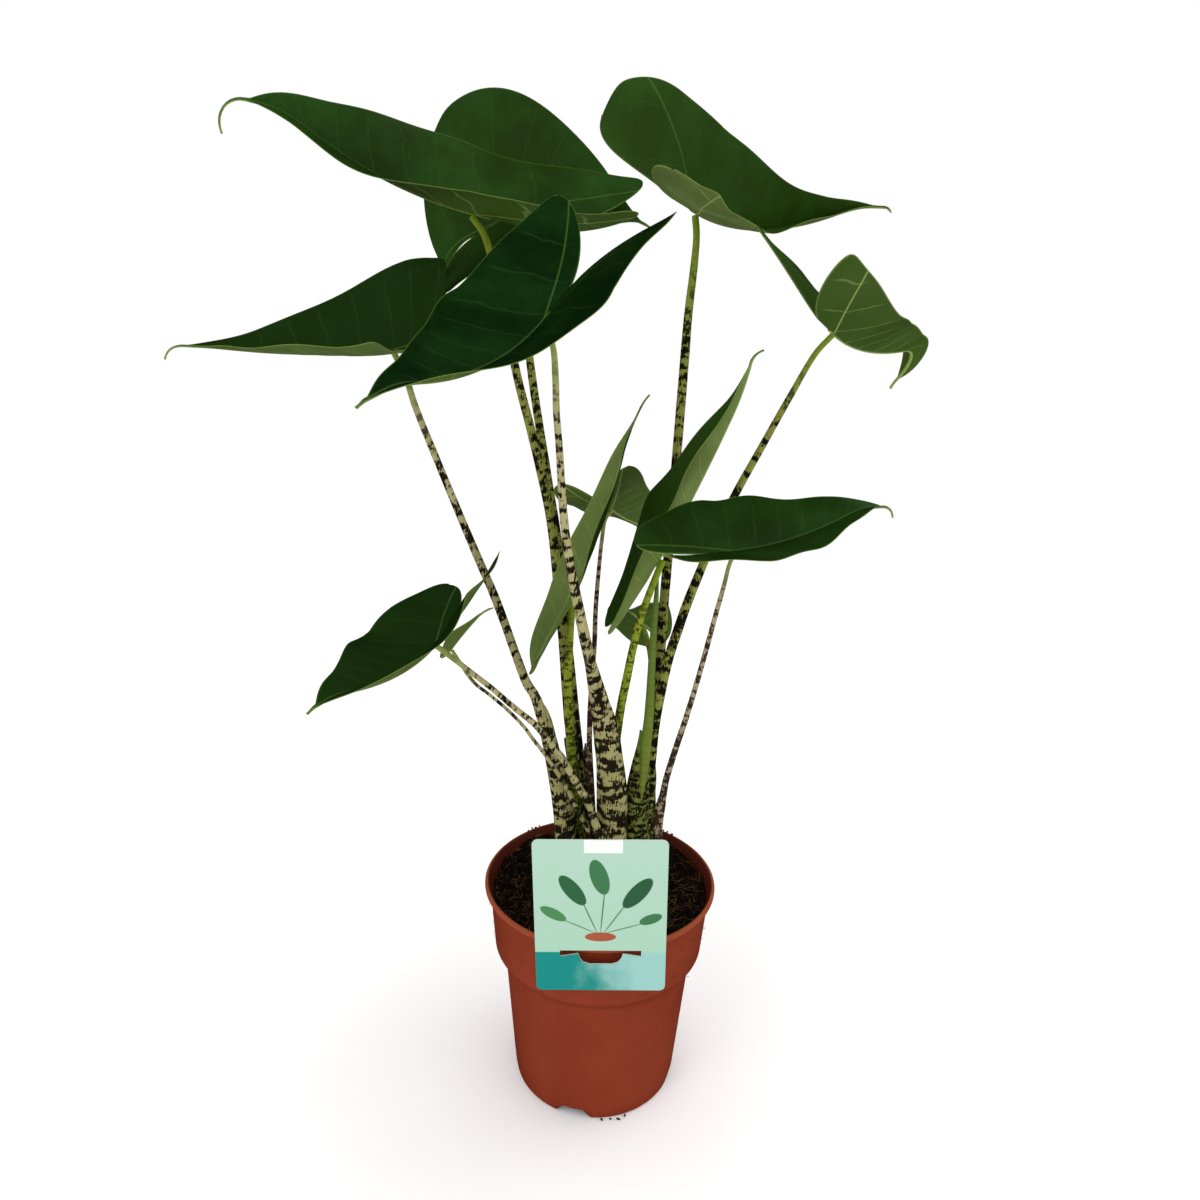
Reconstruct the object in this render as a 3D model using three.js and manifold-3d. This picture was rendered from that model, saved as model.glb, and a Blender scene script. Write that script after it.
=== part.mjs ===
// Potted zebrina alocasia: arrow-shaped leaves on long banded stalks, growing from soil in a
// terracotta-coloured nursery pot, with a plain plant card hooked over the front of the rim.
// Units are millimetres and degrees. +Z is up, and the middle of the pot's base is the origin.
// Seen from the front, +X is to the right and -Y is towards the viewer.
import * as THREE from 'three';
import { mergeVertices } from 'three/addons/utils/BufferGeometryUtils.js';
import Module from 'manifold-3d';

const wasm = await Module();
wasm.setup();

// Gap kept between pieces that touch
const GAP = 0.3;

// Pot
const POT_HEIGHT = 162;
const RIM_RADIUS = 85;
const POT_WALL = 1.7;
const POT_SIDES = 48;
const FLOOR_TOP = 4.8;
const GROOVE_DEPTH = 3;
const NOTCH_COUNT = 4;
const NOTCH_TURN = -104;
const NOTCH_WIDTH = 30;
const NOTCH_TOP_WIDTH = 15;
const NOTCH_HEIGHT = 8;
// Outside of the pot from the foot to the rim, as radius and height
const POT_OUTSIDE = [
  [59.5, 0], [60.5, 1.2], [61.6, 8], [69.7, 100], [70.6, 103.5], [74.4, 107], [77.3, 111.5],
  [81, 155.5], [82.2, 157.3], [84.2, 157.7], [RIM_RADIUS, 158.6], [RIM_RADIUS, 160.6],
  [84.3, 161.7], [83.1, POT_HEIGHT],
];

// Soil
const SOIL_LEVEL = 147;
const SOIL_RELIEF = 1.6;
const HOLE_CLEARANCE = 0.45;
const ROOT_LEVEL = 136;

// Plant card
const CARD_WIDTH = 84.5;
const CARD_ABOVE = 84.5;
const CARD_BELOW = 32.5;
const CARD_THICK = 0.8;
const CARD_CORNER = 4;
const CARD_TILT = 5;
const CARD_TURN = 1.8;
const CARD_HINGE = new THREE.Vector3(1, -88, 163.1);
const SLOT_GAP = 0.5;
// Right half of the tongue that is cut from the card, downwards from the fold
const TONGUE_HALF = [[25.8, 0], [25.8, 4.4], [14, 2.2], [13, 6], [10.8, 9], [6.9, 10.6]];

// Leaves
const BLADE_THICK = 1;
const STALK_SIDES = 8;
const SHEATH_SIDES = 12;
const DRIP_WIDTH = 1.1;

// One entry for each leaf. The joint is where the stalk meets the blade. The heading, rise and
// roll turn the blade's midrib and face. Bend and hook curl the midrib down to the tip, fold and
// curl shape the left and right half across it, unfold is what the fold changes by towards the
// tip, and the two back lobes bend down by lobeBend. The stalk is a list of places, each with
// the stalk's radius there.
const LEAVES = {
  top_left: {
    joint: [-100.4, 61.9, 625.2], heading: 185.9, rise: 11.2, roll: -25.8, twist: -21,
    length: 154, halfWidth: 58.2, lobeLength: 131.6, lobeSpread: 29.4, lobeRound: 0.28,
    widest: -20, fullness: 0.4, fold: [33, 38], unfold: [-7, 2], curl: [-6, -20],
    bend: -34, hook: 35.3, sweep: -1.9, lobeBend: [-24, -8], drip: 34, dripHook: -110,
    wave: 0.8, waves: 4,
    stalk: [[-13.8, 19, ROOT_LEVEL, 4.6], [-16, 20, 180, 4.6], [-22, 22, 242, 4.3],
      [-26.1, 24, 275, 4.1], [-29.2, 30, 304, 4.1], [-32.5, 42, 331, 3.9],
      [-37.4, 52, 367, 3.7], [-44, 55, 419, 3.5], [-57.1, 52, 476, 3.2], [-68.1, 53, 516, 3],
      [-82.1, 56, 576, 2.7], [-92.7, 60, 612, 2.4]],
  },
  top_back: {
    joint: [-93, 139, 632], heading: -37, rise: 19, roll: 60, twist: -9,
    length: 119, halfWidth: 90, lobeLength: 88, lobeSpread: 10, lobeRound: 0.36,
    widest: -6, fullness: 0.1, fold: [28, 9], unfold: [0, 0], curl: [27, 21],
    bend: 64, hook: -1, sweep: -6, lobeBend: [39, 37], drip: 6, dripHook: 0,
    wave: 1, waves: 4,
    stalk: [[-9.5, 28, ROOT_LEVEL, 4.3], [-11.5, 29, 175, 4.3], [-17.7, 32, 235, 4],
      [-22.4, 38, 268, 4], [-26.5, 48, 298, 4], [-30.5, 58, 326, 3.8], [-35.1, 66, 363, 3.6],
      [-39.4, 71, 397, 3.6], [-48, 77, 445, 3.2], [-58.9, 94, 499, 3.1],
      [-63.9, 105, 525, 3.1], [-68.7, 114, 553, 2.8]],
  },
  left: {
    joint: [-147, 18, 534], heading: 168, rise: -6, roll: -32, twist: 17,
    length: 154, halfWidth: 75, lobeLength: 39, lobeSpread: 21, lobeRound: 0.78,
    widest: -27, fullness: 0.14, fold: [19, 13], unfold: [0, 0], curl: [26, 20],
    bend: -13, hook: 7, sweep: -5, lobeBend: [0, 8], drip: 24, dripHook: -60,
    wave: 0.8, waves: 4,
    stalk: [[-24.9, -4, ROOT_LEVEL, 7.3], [-26.6, -4, 194, 7.3], [-29.2, -4, 221, 7.1],
      [-32.8, -4, 240, 6.3], [-36.3, -4, 256, 5.5], [-40.5, -5, 275, 4.9],
      [-45.1, -7, 293, 4.2], [-50.4, -9, 308, 3.3], [-54.9, -9, 315, 3.2], [-62.8, -4, 333, 3],
      [-78.6, 10, 369, 3], [-92, 15, 398, 2.8], [-102.8, 17, 423, 2.6], [-118.4, 18, 461, 2.4],
      [-133.4, 18, 499, 2.2], [-138.9, 18, 517, 2]],
  },
  front: {
    joint: [-42, -71, 551], heading: -125, rise: -39, roll: 2, twist: -16,
    length: 130, halfWidth: 57, lobeLength: 101, lobeSpread: 21, lobeRound: 0.32,
    widest: -9, fullness: 0.29, fold: [21, 24], unfold: [0, 0], curl: [-8, 2],
    bend: -49, hook: 33, sweep: -4, lobeBend: [22, -22], drip: 6, dripHook: -20,
    wave: 1, waves: 4,
    stalk: [[8.3, -10, ROOT_LEVEL, 10], [7.7, -10, 199, 10], [6.7, -10, 229, 9.8],
      [5.4, -10, 245, 9.6], [3.1, -10, 262, 8.9], [0.8, -11, 277, 8.6], [-2.1, -11, 293, 7.5],
      [-5.3, -13, 308, 6.4], [-8.8, -18, 324, 4.9], [-11.8, -26, 339, 3.8],
      [-15.6, -37, 359, 3.7], [-20.4, -46, 384, 3.3], [-25.9, -50, 412, 2.8],
      [-29.9, -54, 441, 2.5], [-32.9, -59, 481, 2.1], [-34.7, -62, 501, 2],
      [-35.4, -65, 520, 1.9], [-36.9, -68, 537, 1.7]],
  },
  top_right: {
    joint: [51, 54.6, 628], heading: 46.8, rise: -11.3, roll: 51.7, twist: -1.8,
    length: 159.4, halfWidth: 58.5, lobeLength: 90.3, lobeSpread: 23, lobeRound: 0.53,
    widest: -45, fullness: 0, fold: [37, 32], unfold: [28, 18], curl: [18, 7],
    bend: -72.8, hook: 47.1, sweep: -3, lobeBend: [30, -20], drip: 10, dripHook: -40,
    wave: 1, waves: 4,
    stalk: [[31.5, 25, ROOT_LEVEL, 4.8], [31.9, 24, 180, 4.8], [32.6, 23, 216, 4.3],
      [34.1, 22, 248, 4.1], [35.2, 22, 274, 4], [36.6, 23, 300, 3.9], [38.7, 27, 331, 3.7],
      [40, 34, 364, 3.5], [42.7, 42, 422, 3.4], [44.9, 46, 480, 3.3], [46.7, 49, 532, 3.2],
      [47.7, 49, 565, 2.9], [50, 50, 597, 2.5], [50.5, 51, 614, 2.3]],
  },
  right: {
    joint: [143.8, 34, 553.4], heading: 54.5, rise: -15.3, roll: 32.2, twist: -4.4,
    length: 144, halfWidth: 43.8, lobeLength: 102.7, lobeSpread: 21.5, lobeRound: 0.21,
    widest: -11.2, fullness: 0.52, fold: [35, 45], unfold: [-12, 17], curl: [-22, 7],
    bend: -38.7, hook: 139.5, sweep: -4.2, lobeBend: [0, -9], drip: 8, dripHook: 30,
    wave: 0.6, waves: 4,
    stalk: [[32.5, 15, ROOT_LEVEL, 4.5], [32.8, 14, 185, 4.5], [33.2, 13, 218, 4.3],
      [34.3, 11, 249, 4], [35.5, 9, 276, 3.8], [37.6, 7, 297, 3.6], [40.1, 8, 313, 3.5],
      [43.7, 11, 331, 3.5], [48.8, 15, 348, 3.5], [54.5, 19, 366, 3.4], [64.6, 24, 394, 3.1],
      [76, 29, 423, 2.9], [86.5, 31, 447, 2.8], [101.8, 33, 478, 2.5], [118.9, 34, 513, 2.2],
      [133.3, 34, 541, 1.9]],
  },
  mid_right: {
    joint: [74, -56, 422], heading: 18, rise: 4, roll: 6, twist: 3,
    length: 105, halfWidth: 48, lobeLength: 60, lobeSpread: 20, lobeRound: 0.4,
    widest: -2, fullness: 0.36, fold: [27, 20], unfold: [0, 0], curl: [-4, -15],
    bend: -30, hook: 34, sweep: 0, lobeBend: [7, -12], drip: 12, dripHook: -80,
    wave: 1.2, waves: 4,
    stalk: [[39.4, -12, ROOT_LEVEL, 3.9], [39.7, -12, 201, 3.9], [40.1, -12, 214, 3.8],
      [41.6, -12, 228, 3.5], [42.7, -12, 235, 2.7], [44.1, -13, 247, 2.3],
      [48.9, -17, 272, 2.2], [53.8, -24, 297, 2], [58.8, -32, 326, 1.8], [63.4, -38, 354, 1.7],
      [67.1, -44, 379, 1.6], [70.4, -49, 400, 1.4], [71.9, -51, 411, 1.3]],
  },
  upright_right: {
    joint: [33, 5, 403], heading: -2, rise: 64, roll: 2, twist: 0,
    length: 140, halfWidth: 38, lobeLength: 63, lobeSpread: 6, lobeRound: 0.17,
    widest: 18, fullness: 0.36, fold: [36, 38], unfold: [0, 0], curl: [1, -26],
    bend: -6, hook: -8, sweep: 0, lobeBend: [-14, -5], drip: 12, dripHook: -60,
    wave: 1.2, waves: 3,
    stalk: [[8.5, 7, ROOT_LEVEL, 4.3], [8.1, 8, 188, 4.3], [7.6, 9, 227, 3.9],
      [8.2, 9, 263, 3.4], [9.7, 9, 281, 3.2], [11.6, 8, 298, 3.1], [14.2, 8, 314, 3.1],
      [17.6, 8, 336, 2.8], [21.9, 7, 359, 2.6], [27.8, 6, 379, 2.5], [32, 5, 392, 2.4]],
  },
  upright_left: {
    joint: [-26.4, 5.2, 375.5], heading: 195.6, rise: 117, roll: -11.5, twist: 3.5,
    length: 133.7, halfWidth: 34.1, lobeLength: 61.3, lobeSpread: 10.5, lobeRound: 0.23,
    widest: -13.6, fullness: 0.26, fold: [3, -8], unfold: [-14, -16], curl: [-14, -28],
    bend: 18.2, hook: -15.4, sweep: -4.9, lobeBend: [5, -7], drip: 12, dripHook: 20,
    wave: 1.2, waves: 3,
    stalk: [[-16.7, 9, ROOT_LEVEL, 5.1], [-18, 9, 187, 5.1], [-20.3, 9, 222, 4.8],
      [-22.3, 9, 244, 4.2], [-24.1, 9, 262, 3.5], [-25.6, 9, 280, 3.3], [-26.6, 9, 297, 3.2],
      [-27.5, 10, 313, 3.1], [-27.1, 10, 330, 2.8], [-26.4, 11, 349, 2.5], [-26, 12, 361, 2.3]],
    stalkTop: [-27, 13, 372],
  },
  small_back: {
    joint: [0, 67, 426], heading: 74, rise: -19, roll: -21, twist: 8,
    length: 100, halfWidth: 31, lobeLength: 55, lobeSpread: 30, lobeRound: 0.48,
    widest: -3, fullness: 0.28, fold: [21, 16], unfold: [0, 0], curl: [0, 1],
    bend: -7, hook: 24, sweep: -2, lobeBend: [-49, -34], drip: 6, dripHook: 0,
    wave: 1, waves: 3,
    stalk: [[-5.6, 5, ROOT_LEVEL, 3.7], [-6.8, 6, 189, 3.7], [-8.8, 7, 219, 3.5],
      [-10, 8, 237, 3.3], [-10.8, 9, 253, 2.8], [-10.9, 12, 263, 2], [-11.1, 18, 282, 2],
      [-10.4, 28, 305, 1.9], [-9.4, 38, 333, 1.8], [-9.4, 48, 352, 1.8], [-8.2, 56, 378, 1.6],
      [-6.3, 62, 404, 1.5], [-4.1, 65, 419, 1.4]],
  },
  low_left: {
    joint: [-111, -42, 352], heading: -108, rise: -17, roll: 29, twist: -35,
    length: 102, halfWidth: 49, lobeLength: 81, lobeSpread: 23, lobeRound: 0.39,
    widest: -10, fullness: 0.44, fold: [25, 25], unfold: [0, 0], curl: [0, 16],
    bend: -39, hook: 27, sweep: -7, lobeBend: [-12, 11], drip: 6, dripHook: -20,
    wave: 1.4, waves: 3,
    stalk: [[0.5, -24, ROOT_LEVEL, 3], [-1.8, -24, 207, 3], [-5.8, -24, 221, 2.9],
      [-10.3, -25, 235, 2.8], [-16.8, -26, 246, 2.7], [-22.6, -27, 257, 2.5],
      [-28.9, -28, 269, 2.4], [-37.2, -30, 281, 2.3], [-47.6, -32, 295, 2.1],
      [-60.3, -33, 306, 2], [-75.6, -36, 321, 1.8], [-89.6, -38, 333, 1.8],
      [-100.9, -40, 343, 1.8]],
  },
  low_small: {
    joint: [-107, -9, 338], heading: 30, rise: 50, roll: -25, twist: -6,
    length: 38, halfWidth: 13, lobeLength: 10, lobeSpread: 32, lobeRound: 0.35,
    widest: 1, fullness: 0, fold: [28, 28], unfold: [0, 0], curl: [-2, 9],
    bend: 8, hook: 21, sweep: -2, lobeBend: [-9, -11], drip: 3, dripHook: 0,
    wave: 0.4, waves: 2,
    stalk: [[-2.5, -15, ROOT_LEVEL, 1.8], [-7.5, -15, 201, 1.8], [-15.8, -15, 219, 1.7],
      [-24, -15, 237, 1.6], [-30.7, -14, 248, 1.5], [-37.1, -14, 258, 1.4],
      [-44.7, -14, 269, 1.3], [-51.1, -13, 277, 1.3], [-56, -13, 284, 1.2],
      [-67.6, -12, 296, 1.2], [-80.9, -11, 307, 1.2], [-91.3, -10, 315, 1.2]],
  },
  low_back: {
    joint: [26, 76, 337], heading: -114, rise: 36, roll: 22, twist: -24,
    length: 66, halfWidth: 25, lobeLength: 43, lobeSpread: 12, lobeRound: 0.41,
    widest: -4, fullness: 0.26, fold: [21, 12], unfold: [0, 0], curl: [4, -5],
    bend: 34, hook: -8, sweep: 1, lobeBend: [24, 20], drip: 5, dripHook: 0,
    wave: 1, waves: 3,
    stalk: [[40.7, 32, ROOT_LEVEL, 3.1], [39.9, 33, 175, 3.1], [37.9, 36, 223, 2.7],
      [36.3, 45, 267, 2.4], [34.6, 66, 309, 2.1], [29.4, 73, 330, 1.9]],
  },
};

// The youngest leaf, still rolled into a spear, and the sheath that it grows out of
const SPEAR = [[28.4, -5, ROOT_LEVEL, 0.7], [27.8, -5, 229, 1.1], [28, -5, 237, 2],
  [28.7, -4, 246, 2.9], [29.3, -3, 258, 3.7], [29.7, -1, 271, 3.9], [30.8, 2, 285, 3.6],
  [31.4, 5, 299, 3.3], [31.6, 7, 315, 3], [31.6, 8, 333, 2.6], [31.9, 9, 351, 2.4],
  [32.6, 11, 372, 1.9], [33, 13, 388, 0.9]];
const SHEATH = [[25.1, 2, ROOT_LEVEL, 9.6], [25, 2, 192, 9.6], [24.8, 2, 223, 8.9],
  [25.6, 2, 239, 7.8], [26.5, 3, 253, 6], [26.8, 4, 264, 3.8], [26.3, 5, 272, 1.8],
  [25.6, 5, 277, 0.7]];

const rad = THREE.MathUtils.degToRad;

// Building blocks

function geometryOf(points, triangles) {
  const geometry = new THREE.BufferGeometry();
  geometry.setAttribute('position', new THREE.Float32BufferAttribute(points.flat(), 3));
  geometry.setIndex(triangles.flat());
  return geometry;
}

function manifoldOf(geometry) {
  const bare = geometry.clone();
  bare.deleteAttribute('normal');
  bare.deleteAttribute('uv');
  const merged = mergeVertices(bare, 1e-3);
  const index = merged.index.array;
  const kept = [];
  for (let i = 0; i < index.length; i += 3) {
    const [a, b, c] = [index[i], index[i + 1], index[i + 2]];
    if (a !== b && b !== c && a !== c) kept.push(a, b, c);
  }
  return new wasm.Manifold(new wasm.Mesh({
    numProp: 3,
    vertProperties: new Float32Array(merged.attributes.position.array),
    triVerts: new Uint32Array(kept),
  }));
}

function geometryFrom(manifold) {
  const mesh = manifold.getMesh();
  const geometry = new THREE.BufferGeometry();
  geometry.setAttribute('position', new THREE.BufferAttribute(mesh.vertProperties, 3));
  geometry.setIndex(new THREE.BufferAttribute(mesh.triVerts, 1));
  return geometry;
}

// A thin closed sheet: the same triangles above and below a middle surface, and a narrow wall
// along every open edge
function closedSheet(middle, faces, thickness) {
  const welded = [];
  const keyOf = new Map();
  const at = middle.map(p => {
    const key = p.map(v => Math.round(v * 500)).join(' ');
    if (!keyOf.has(key)) {
      keyOf.set(key, welded.length);
      welded.push(new THREE.Vector3(...p));
    }
    return keyOf.get(key);
  });
  const normals = welded.map(() => new THREE.Vector3());
  const triangles = [];
  for (const face of faces) {
    const [a, b, c] = face.map(i => at[i]);
    if (a === b || b === c || a === c) continue;
    const normal = new THREE.Vector3().subVectors(welded[b], welded[a]);
    normal.cross(new THREE.Vector3().subVectors(welded[c], welded[a]));
    for (const i of [a, b, c]) normals[i].add(normal);
    triangles.push([a, b, c]);
  }
  const edges = new Map();
  for (const [a, b, c] of triangles) {
    for (const [i, j] of [[a, b], [b, c], [c, a]]) edges.set(`${i} ${j}`, [i, j]);
  }
  const count = welded.length;
  const points = [];
  for (const side of [0.5, -0.5]) {
    welded.forEach((p, i) => {
      const lift = normals[i].clone().normalize().multiplyScalar(side * thickness);
      points.push(p.clone().add(lift).toArray());
    });
  }
  const all = [];
  for (const [a, b, c] of triangles) {
    all.push([a, b, c], [a + count, c + count, b + count]);
  }
  for (const [i, j] of edges.values()) {
    if (edges.has(`${j} ${i}`)) continue;
    all.push([j, i, i + count], [j, i + count, j + count]);
  }
  return geometryOf(points, all);
}

// A round stem through places that each carry a radius, made thicker all round by grow
function stem(places, sides, grow = 0) {
  const curve = new THREE.CatmullRomCurve3(places.map(p => new THREE.Vector3(...p)));
  const steps = Math.round(1.4 * (places.length - 1));
  const points = [];
  const triangles = [];
  for (let k = 0; k <= steps; k++) {
    const t = k / steps;
    const centre = curve.getPoint(t);
    const along = curve.getTangent(t);
    const across = new THREE.Vector3(0, 1, 0).cross(along).normalize();
    const other = new THREE.Vector3().crossVectors(along, across).normalize();
    const place = t * (places.length - 1);
    const low = Math.min(Math.floor(place), places.length - 2);
    const [from, to] = [places[low][3], places[low + 1][3]];
    const radius = from + (to - from) * (place - low) + grow;
    for (let i = 0; i < sides; i++) {
      const turn = i / sides * 2 * Math.PI;
      const p = centre.clone().addScaledVector(across, Math.cos(turn) * radius);
      points.push(p.addScaledVector(other, Math.sin(turn) * radius).toArray());
    }
  }
  for (let k = 0; k < steps; k++) {
    for (let i = 0; i < sides; i++) {
      const a = k * sides + i;
      const b = k * sides + (i + 1) % sides;
      triangles.push([a, b, b + sides], [a, b + sides, a + sides]);
    }
  }
  const last = steps * sides;
  for (let i = 1; i < sides - 1; i++) {
    triangles.push([0, i + 1, i], [last, last + i, last + i + 1]);
  }
  return geometryOf(points, triangles);
}

// Blades

function bezier(a, b, c, d, t) {
  const s = 1 - t;
  return [0, 1].map(i => s * s * s * a[i] + 3 * s * s * t * b[i] + 3 * s * t * t * c[i]
    + t * t * t * d[i]);
}

const smooth = t => {
  const s = Math.min(1, Math.max(0, t));
  return s * s * (3 - 2 * s);
};

// Part of the blade's length over which its fold changes
const UNFOLD_REACH = 0.6;

// Part of the lobe's length over which the two halves are joined behind the stalk
const JOINED = 0.3;

// Rows of flat points over one half of a blade, from the tip of the back lobe to the drip tip.
// Each row runs from the midrib, or from the cleft between the lobes, out to the margin.
function flatHalf(leaf, rows, columns) {
  const { length, halfWidth, lobeLength, lobeRound, widest, fullness, drip } = leaf;
  const spread = rad(leaf.lobeSpread);
  const lobeTip = [-lobeLength * Math.cos(spread), lobeLength * Math.sin(spread)];
  const cleft = [-JOINED * lobeLength, 0];
  const reach = lobeRound * halfWidth;
  const out = [Math.sin(spread) * reach, Math.cos(spread) * reach];
  const shoulder = [widest + 0.1 * length, halfWidth];
  const lobeMargin = t => bezier(lobeTip, [lobeTip[0] + out[0], lobeTip[1] + out[1]],
    [widest - 0.28 * lobeLength, halfWidth], shoulder, t);
  const frontMargin = t => bezier(shoulder, [0.36 * length, halfWidth],
    [0.74 * length, fullness * halfWidth], [length, 0], t);
  const cleftMargin = t => bezier(lobeTip, [lobeTip[0] - 0.7 * out[0], lobeTip[1] - 0.7 * out[1]],
    [cleft[0] - 0.3 * lobeLength, 0.05 * lobeLength], cleft, t);
  const lobeRows = Math.round(rows * 0.34);
  const frontRows = rows - lobeRows;
  const between = (inner, outer) => {
    const row = [];
    for (let j = 0; j <= columns; j++) {
      const v = j / columns;
      row.push([inner[0] + (outer[0] - inner[0]) * v, inner[1] + (outer[1] - inner[1]) * v]);
    }
    return row;
  };
  const list = [];
  for (let k = 0; k <= lobeRows; k++) {
    const t = k / lobeRows;
    list.push(between(cleftMargin(t), lobeMargin(0.86 * t)));
  }
  for (let k = 1; k <= frontRows; k++) {
    const t = k / frontRows;
    const inner = [cleft[0] + (length - cleft[0]) * t, 0];
    const outer = t < 0.12 ? lobeMargin(0.86 + 0.14 * t / 0.12) : frontMargin((t - 0.12) / 0.88);
    list.push(between(inner, [outer[0], Math.max(outer[1], DRIP_WIDTH)]));
  }
  for (let k = 1; k <= 3; k++) {
    const x = length + drip * k / 3;
    list.push(between([x, 0], [x, k < 3 ? DRIP_WIDTH * (1 - k / 3) : 0]));
  }
  return list;
}

// Directions of a blade's midrib, left side and upper face
function bladeAxes(leaf) {
  const turn = new THREE.Matrix4().makeRotationZ(rad(leaf.heading));
  turn.multiply(new THREE.Matrix4().makeRotationY(rad(-leaf.rise)));
  turn.multiply(new THREE.Matrix4().makeRotationX(rad(leaf.roll)));
  const axes = [new THREE.Vector3(), new THREE.Vector3(), new THREE.Vector3()];
  turn.extractBasis(...axes);
  return axes;
}

// A line that starts along +X and turns in the upright plane by the angle given at each place
function spine(length, angleAt) {
  const steps = 30;
  const list = [[0, 0, angleAt(0)]];
  let [x, z] = [0, 0];
  for (let i = 1; i <= steps; i++) {
    const angle = angleAt((i - 0.5) * length / steps);
    x += Math.cos(angle) * length / steps;
    z += Math.sin(angle) * length / steps;
    list.push([x, z, angleAt(i * length / steps)]);
  }
  return s => {
    const place = Math.min(steps - 1e-9, Math.max(0, s / length * steps));
    const i = Math.floor(place);
    return [0, 1, 2].map(n => list[i][n] + (list[i + 1][n] - list[i][n]) * (place - i));
  };
}

// Bends a flat point of a blade into its place
function bender(leaf) {
  const { length, halfWidth, lobeLength, drip } = leaf;
  const front = spine(length + drip, s => -rad(leaf.bend * Math.min(1, s / length)
    + leaf.hook * smooth((s / length - 0.72) / 0.28)
    - leaf.dripHook * Math.max(0, s - length) / drip));
  const backs = leaf.lobeBend.map(angle => spine(lobeLength,
    s => -rad(angle) * Math.max(0, s / lobeLength - JOINED) / (1 - JOINED)));
  const axes = bladeAxes(leaf);
  const joint = new THREE.Vector3(...leaf.joint);
  return (x, y, half, ripple) => {
    const t = Math.max(0, x / length);
    let middle = front(x);
    if (x < 0) {
      const back = backs[half](-x);
      middle = [-back[0], back[1], -back[2]];
    }
    const start = rad(leaf.fold[half] + leaf.unfold[half] * smooth(t / UNFOLD_REACH));
    const bow = rad(leaf.curl[half] || 0.01) / halfWidth;
    const side = (Math.sin(start + bow * y) - Math.sin(start)) / bow * (half === 0 ? 1 : -1);
    const height = (Math.cos(start) - Math.cos(start + bow * y)) / bow + ripple;
    const twist = rad(leaf.twist) * t;
    const across = side * Math.cos(twist) - height * Math.sin(twist) + leaf.sweep * t * t;
    const lift = side * Math.sin(twist) + height * Math.cos(twist);
    const point = joint.clone();
    point.addScaledVector(axes[0], middle[0] - Math.sin(middle[2]) * lift);
    point.addScaledVector(axes[1], across);
    return point.addScaledVector(axes[2], middle[1] + Math.cos(middle[2]) * lift).toArray();
  };
}

function blade(leaf) {
  const large = leaf.length > 70;
  const rows = large ? 20 : 14;
  const columns = 3;
  const bend = bender(leaf);
  const flat = flatHalf(leaf, rows, columns);
  const points = [];
  const faces = [];
  for (const half of [0, 1]) {
    const base = points.length;
    flat.forEach((row, k) => row.forEach(([x, y], j) => {
      const edge = (j / columns) ** 2 * Math.min(1, y / (0.3 * leaf.halfWidth));
      const phase = 2 * Math.PI * leaf.waves * k / rows + 1.7 * half;
      points.push(bend(x, y, half, leaf.wave * Math.sin(phase) * edge));
    }));
    for (let k = 0; k < flat.length - 1; k++) {
      for (let j = 0; j < columns; j++) {
        const a = base + k * (columns + 1) + j;
        const c = a + columns + 1;
        if (half === 0) faces.push([a, c, c + 1], [a, c + 1, a + 1]);
        else faces.push([a, c + 1, c], [a, a + 1, c + 1]);
      }
    }
  }
  return closedSheet(points, faces, BLADE_THICK);
}

// The stalk's places, with its end just under the blade's joint
function stalkPlaces(leaf) {
  const places = leaf.stalk;
  const [x, y, z, radius] = places[places.length - 1];
  if (leaf.stalkTop) return [...places, [...leaf.stalkTop, radius]];
  const face = bladeAxes(leaf)[2];
  const joint = new THREE.Vector3(...leaf.joint);
  const along = joint.clone().sub(new THREE.Vector3(x, y, z)).normalize();
  const tilt = Math.sqrt(Math.max(0, 1 - along.dot(face) ** 2));
  const drop = radius * tilt + BLADE_THICK / 2 + GAP + 0.1;
  return [...places, [...joint.addScaledVector(face, -drop).toArray(), radius]];
}

// The sheath wraps the foot of the rolled leaf, which stands in a groove along it
function leafSheath() {
  const groove = manifoldOf(stem(SPEAR, STALK_SIDES, HOLE_CLEARANCE));
  return geometryFrom(manifoldOf(stem(SHEATH, SHEATH_SIDES)).subtract(groove));
}

// Pot

function insideOfPot() {
  const list = [[82.2, POT_HEIGHT - 0.5]];
  for (const [r, z] of POT_OUTSIDE.slice(2, 8).reverse()) list.push([r - POT_WALL, z - 0.4]);
  list.push([58.6, FLOOR_TOP], [0, FLOOR_TOP]);
  return list;
}

function pot() {
  const base = [[0, 0], [36, 0], [38, GROOVE_DEPTH], [51, GROOVE_DEPTH], [53, 0]];
  const profile = [...base, ...POT_OUTSIDE, ...insideOfPot()].map(p => new THREE.Vector2(...p));
  const lathe = new THREE.LatheGeometry(profile, POT_SIDES);
  lathe.rotateX(Math.PI / 2);
  let body = manifoldOf(lathe);
  for (let i = 0; i < NOTCH_COUNT; i++) {
    const shape = new THREE.Shape([
      new THREE.Vector2(-NOTCH_WIDTH / 2, -1), new THREE.Vector2(NOTCH_WIDTH / 2, -1),
      new THREE.Vector2(NOTCH_TOP_WIDTH / 2, NOTCH_HEIGHT),
      new THREE.Vector2(-NOTCH_TOP_WIDTH / 2, NOTCH_HEIGHT),
    ]);
    const wedge = new THREE.ExtrudeGeometry(shape, { depth: 14, bevelEnabled: false });
    wedge.rotateX(Math.PI / 2);
    wedge.translate(0, 66, 0);
    wedge.rotateZ(rad(NOTCH_TURN - 90 + i * 360 / NOTCH_COUNT));
    body = body.subtract(manifoldOf(wedge));
  }
  return geometryFrom(body);
}

// Soil

const soilHeight = (x, y) => SOIL_LEVEL + SOIL_RELIEF * (Math.sin(0.11 * x + 0.6)
  * Math.cos(0.13 * y - 0.4) + 0.5 * Math.sin(0.31 * x - 0.24 * y));

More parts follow.
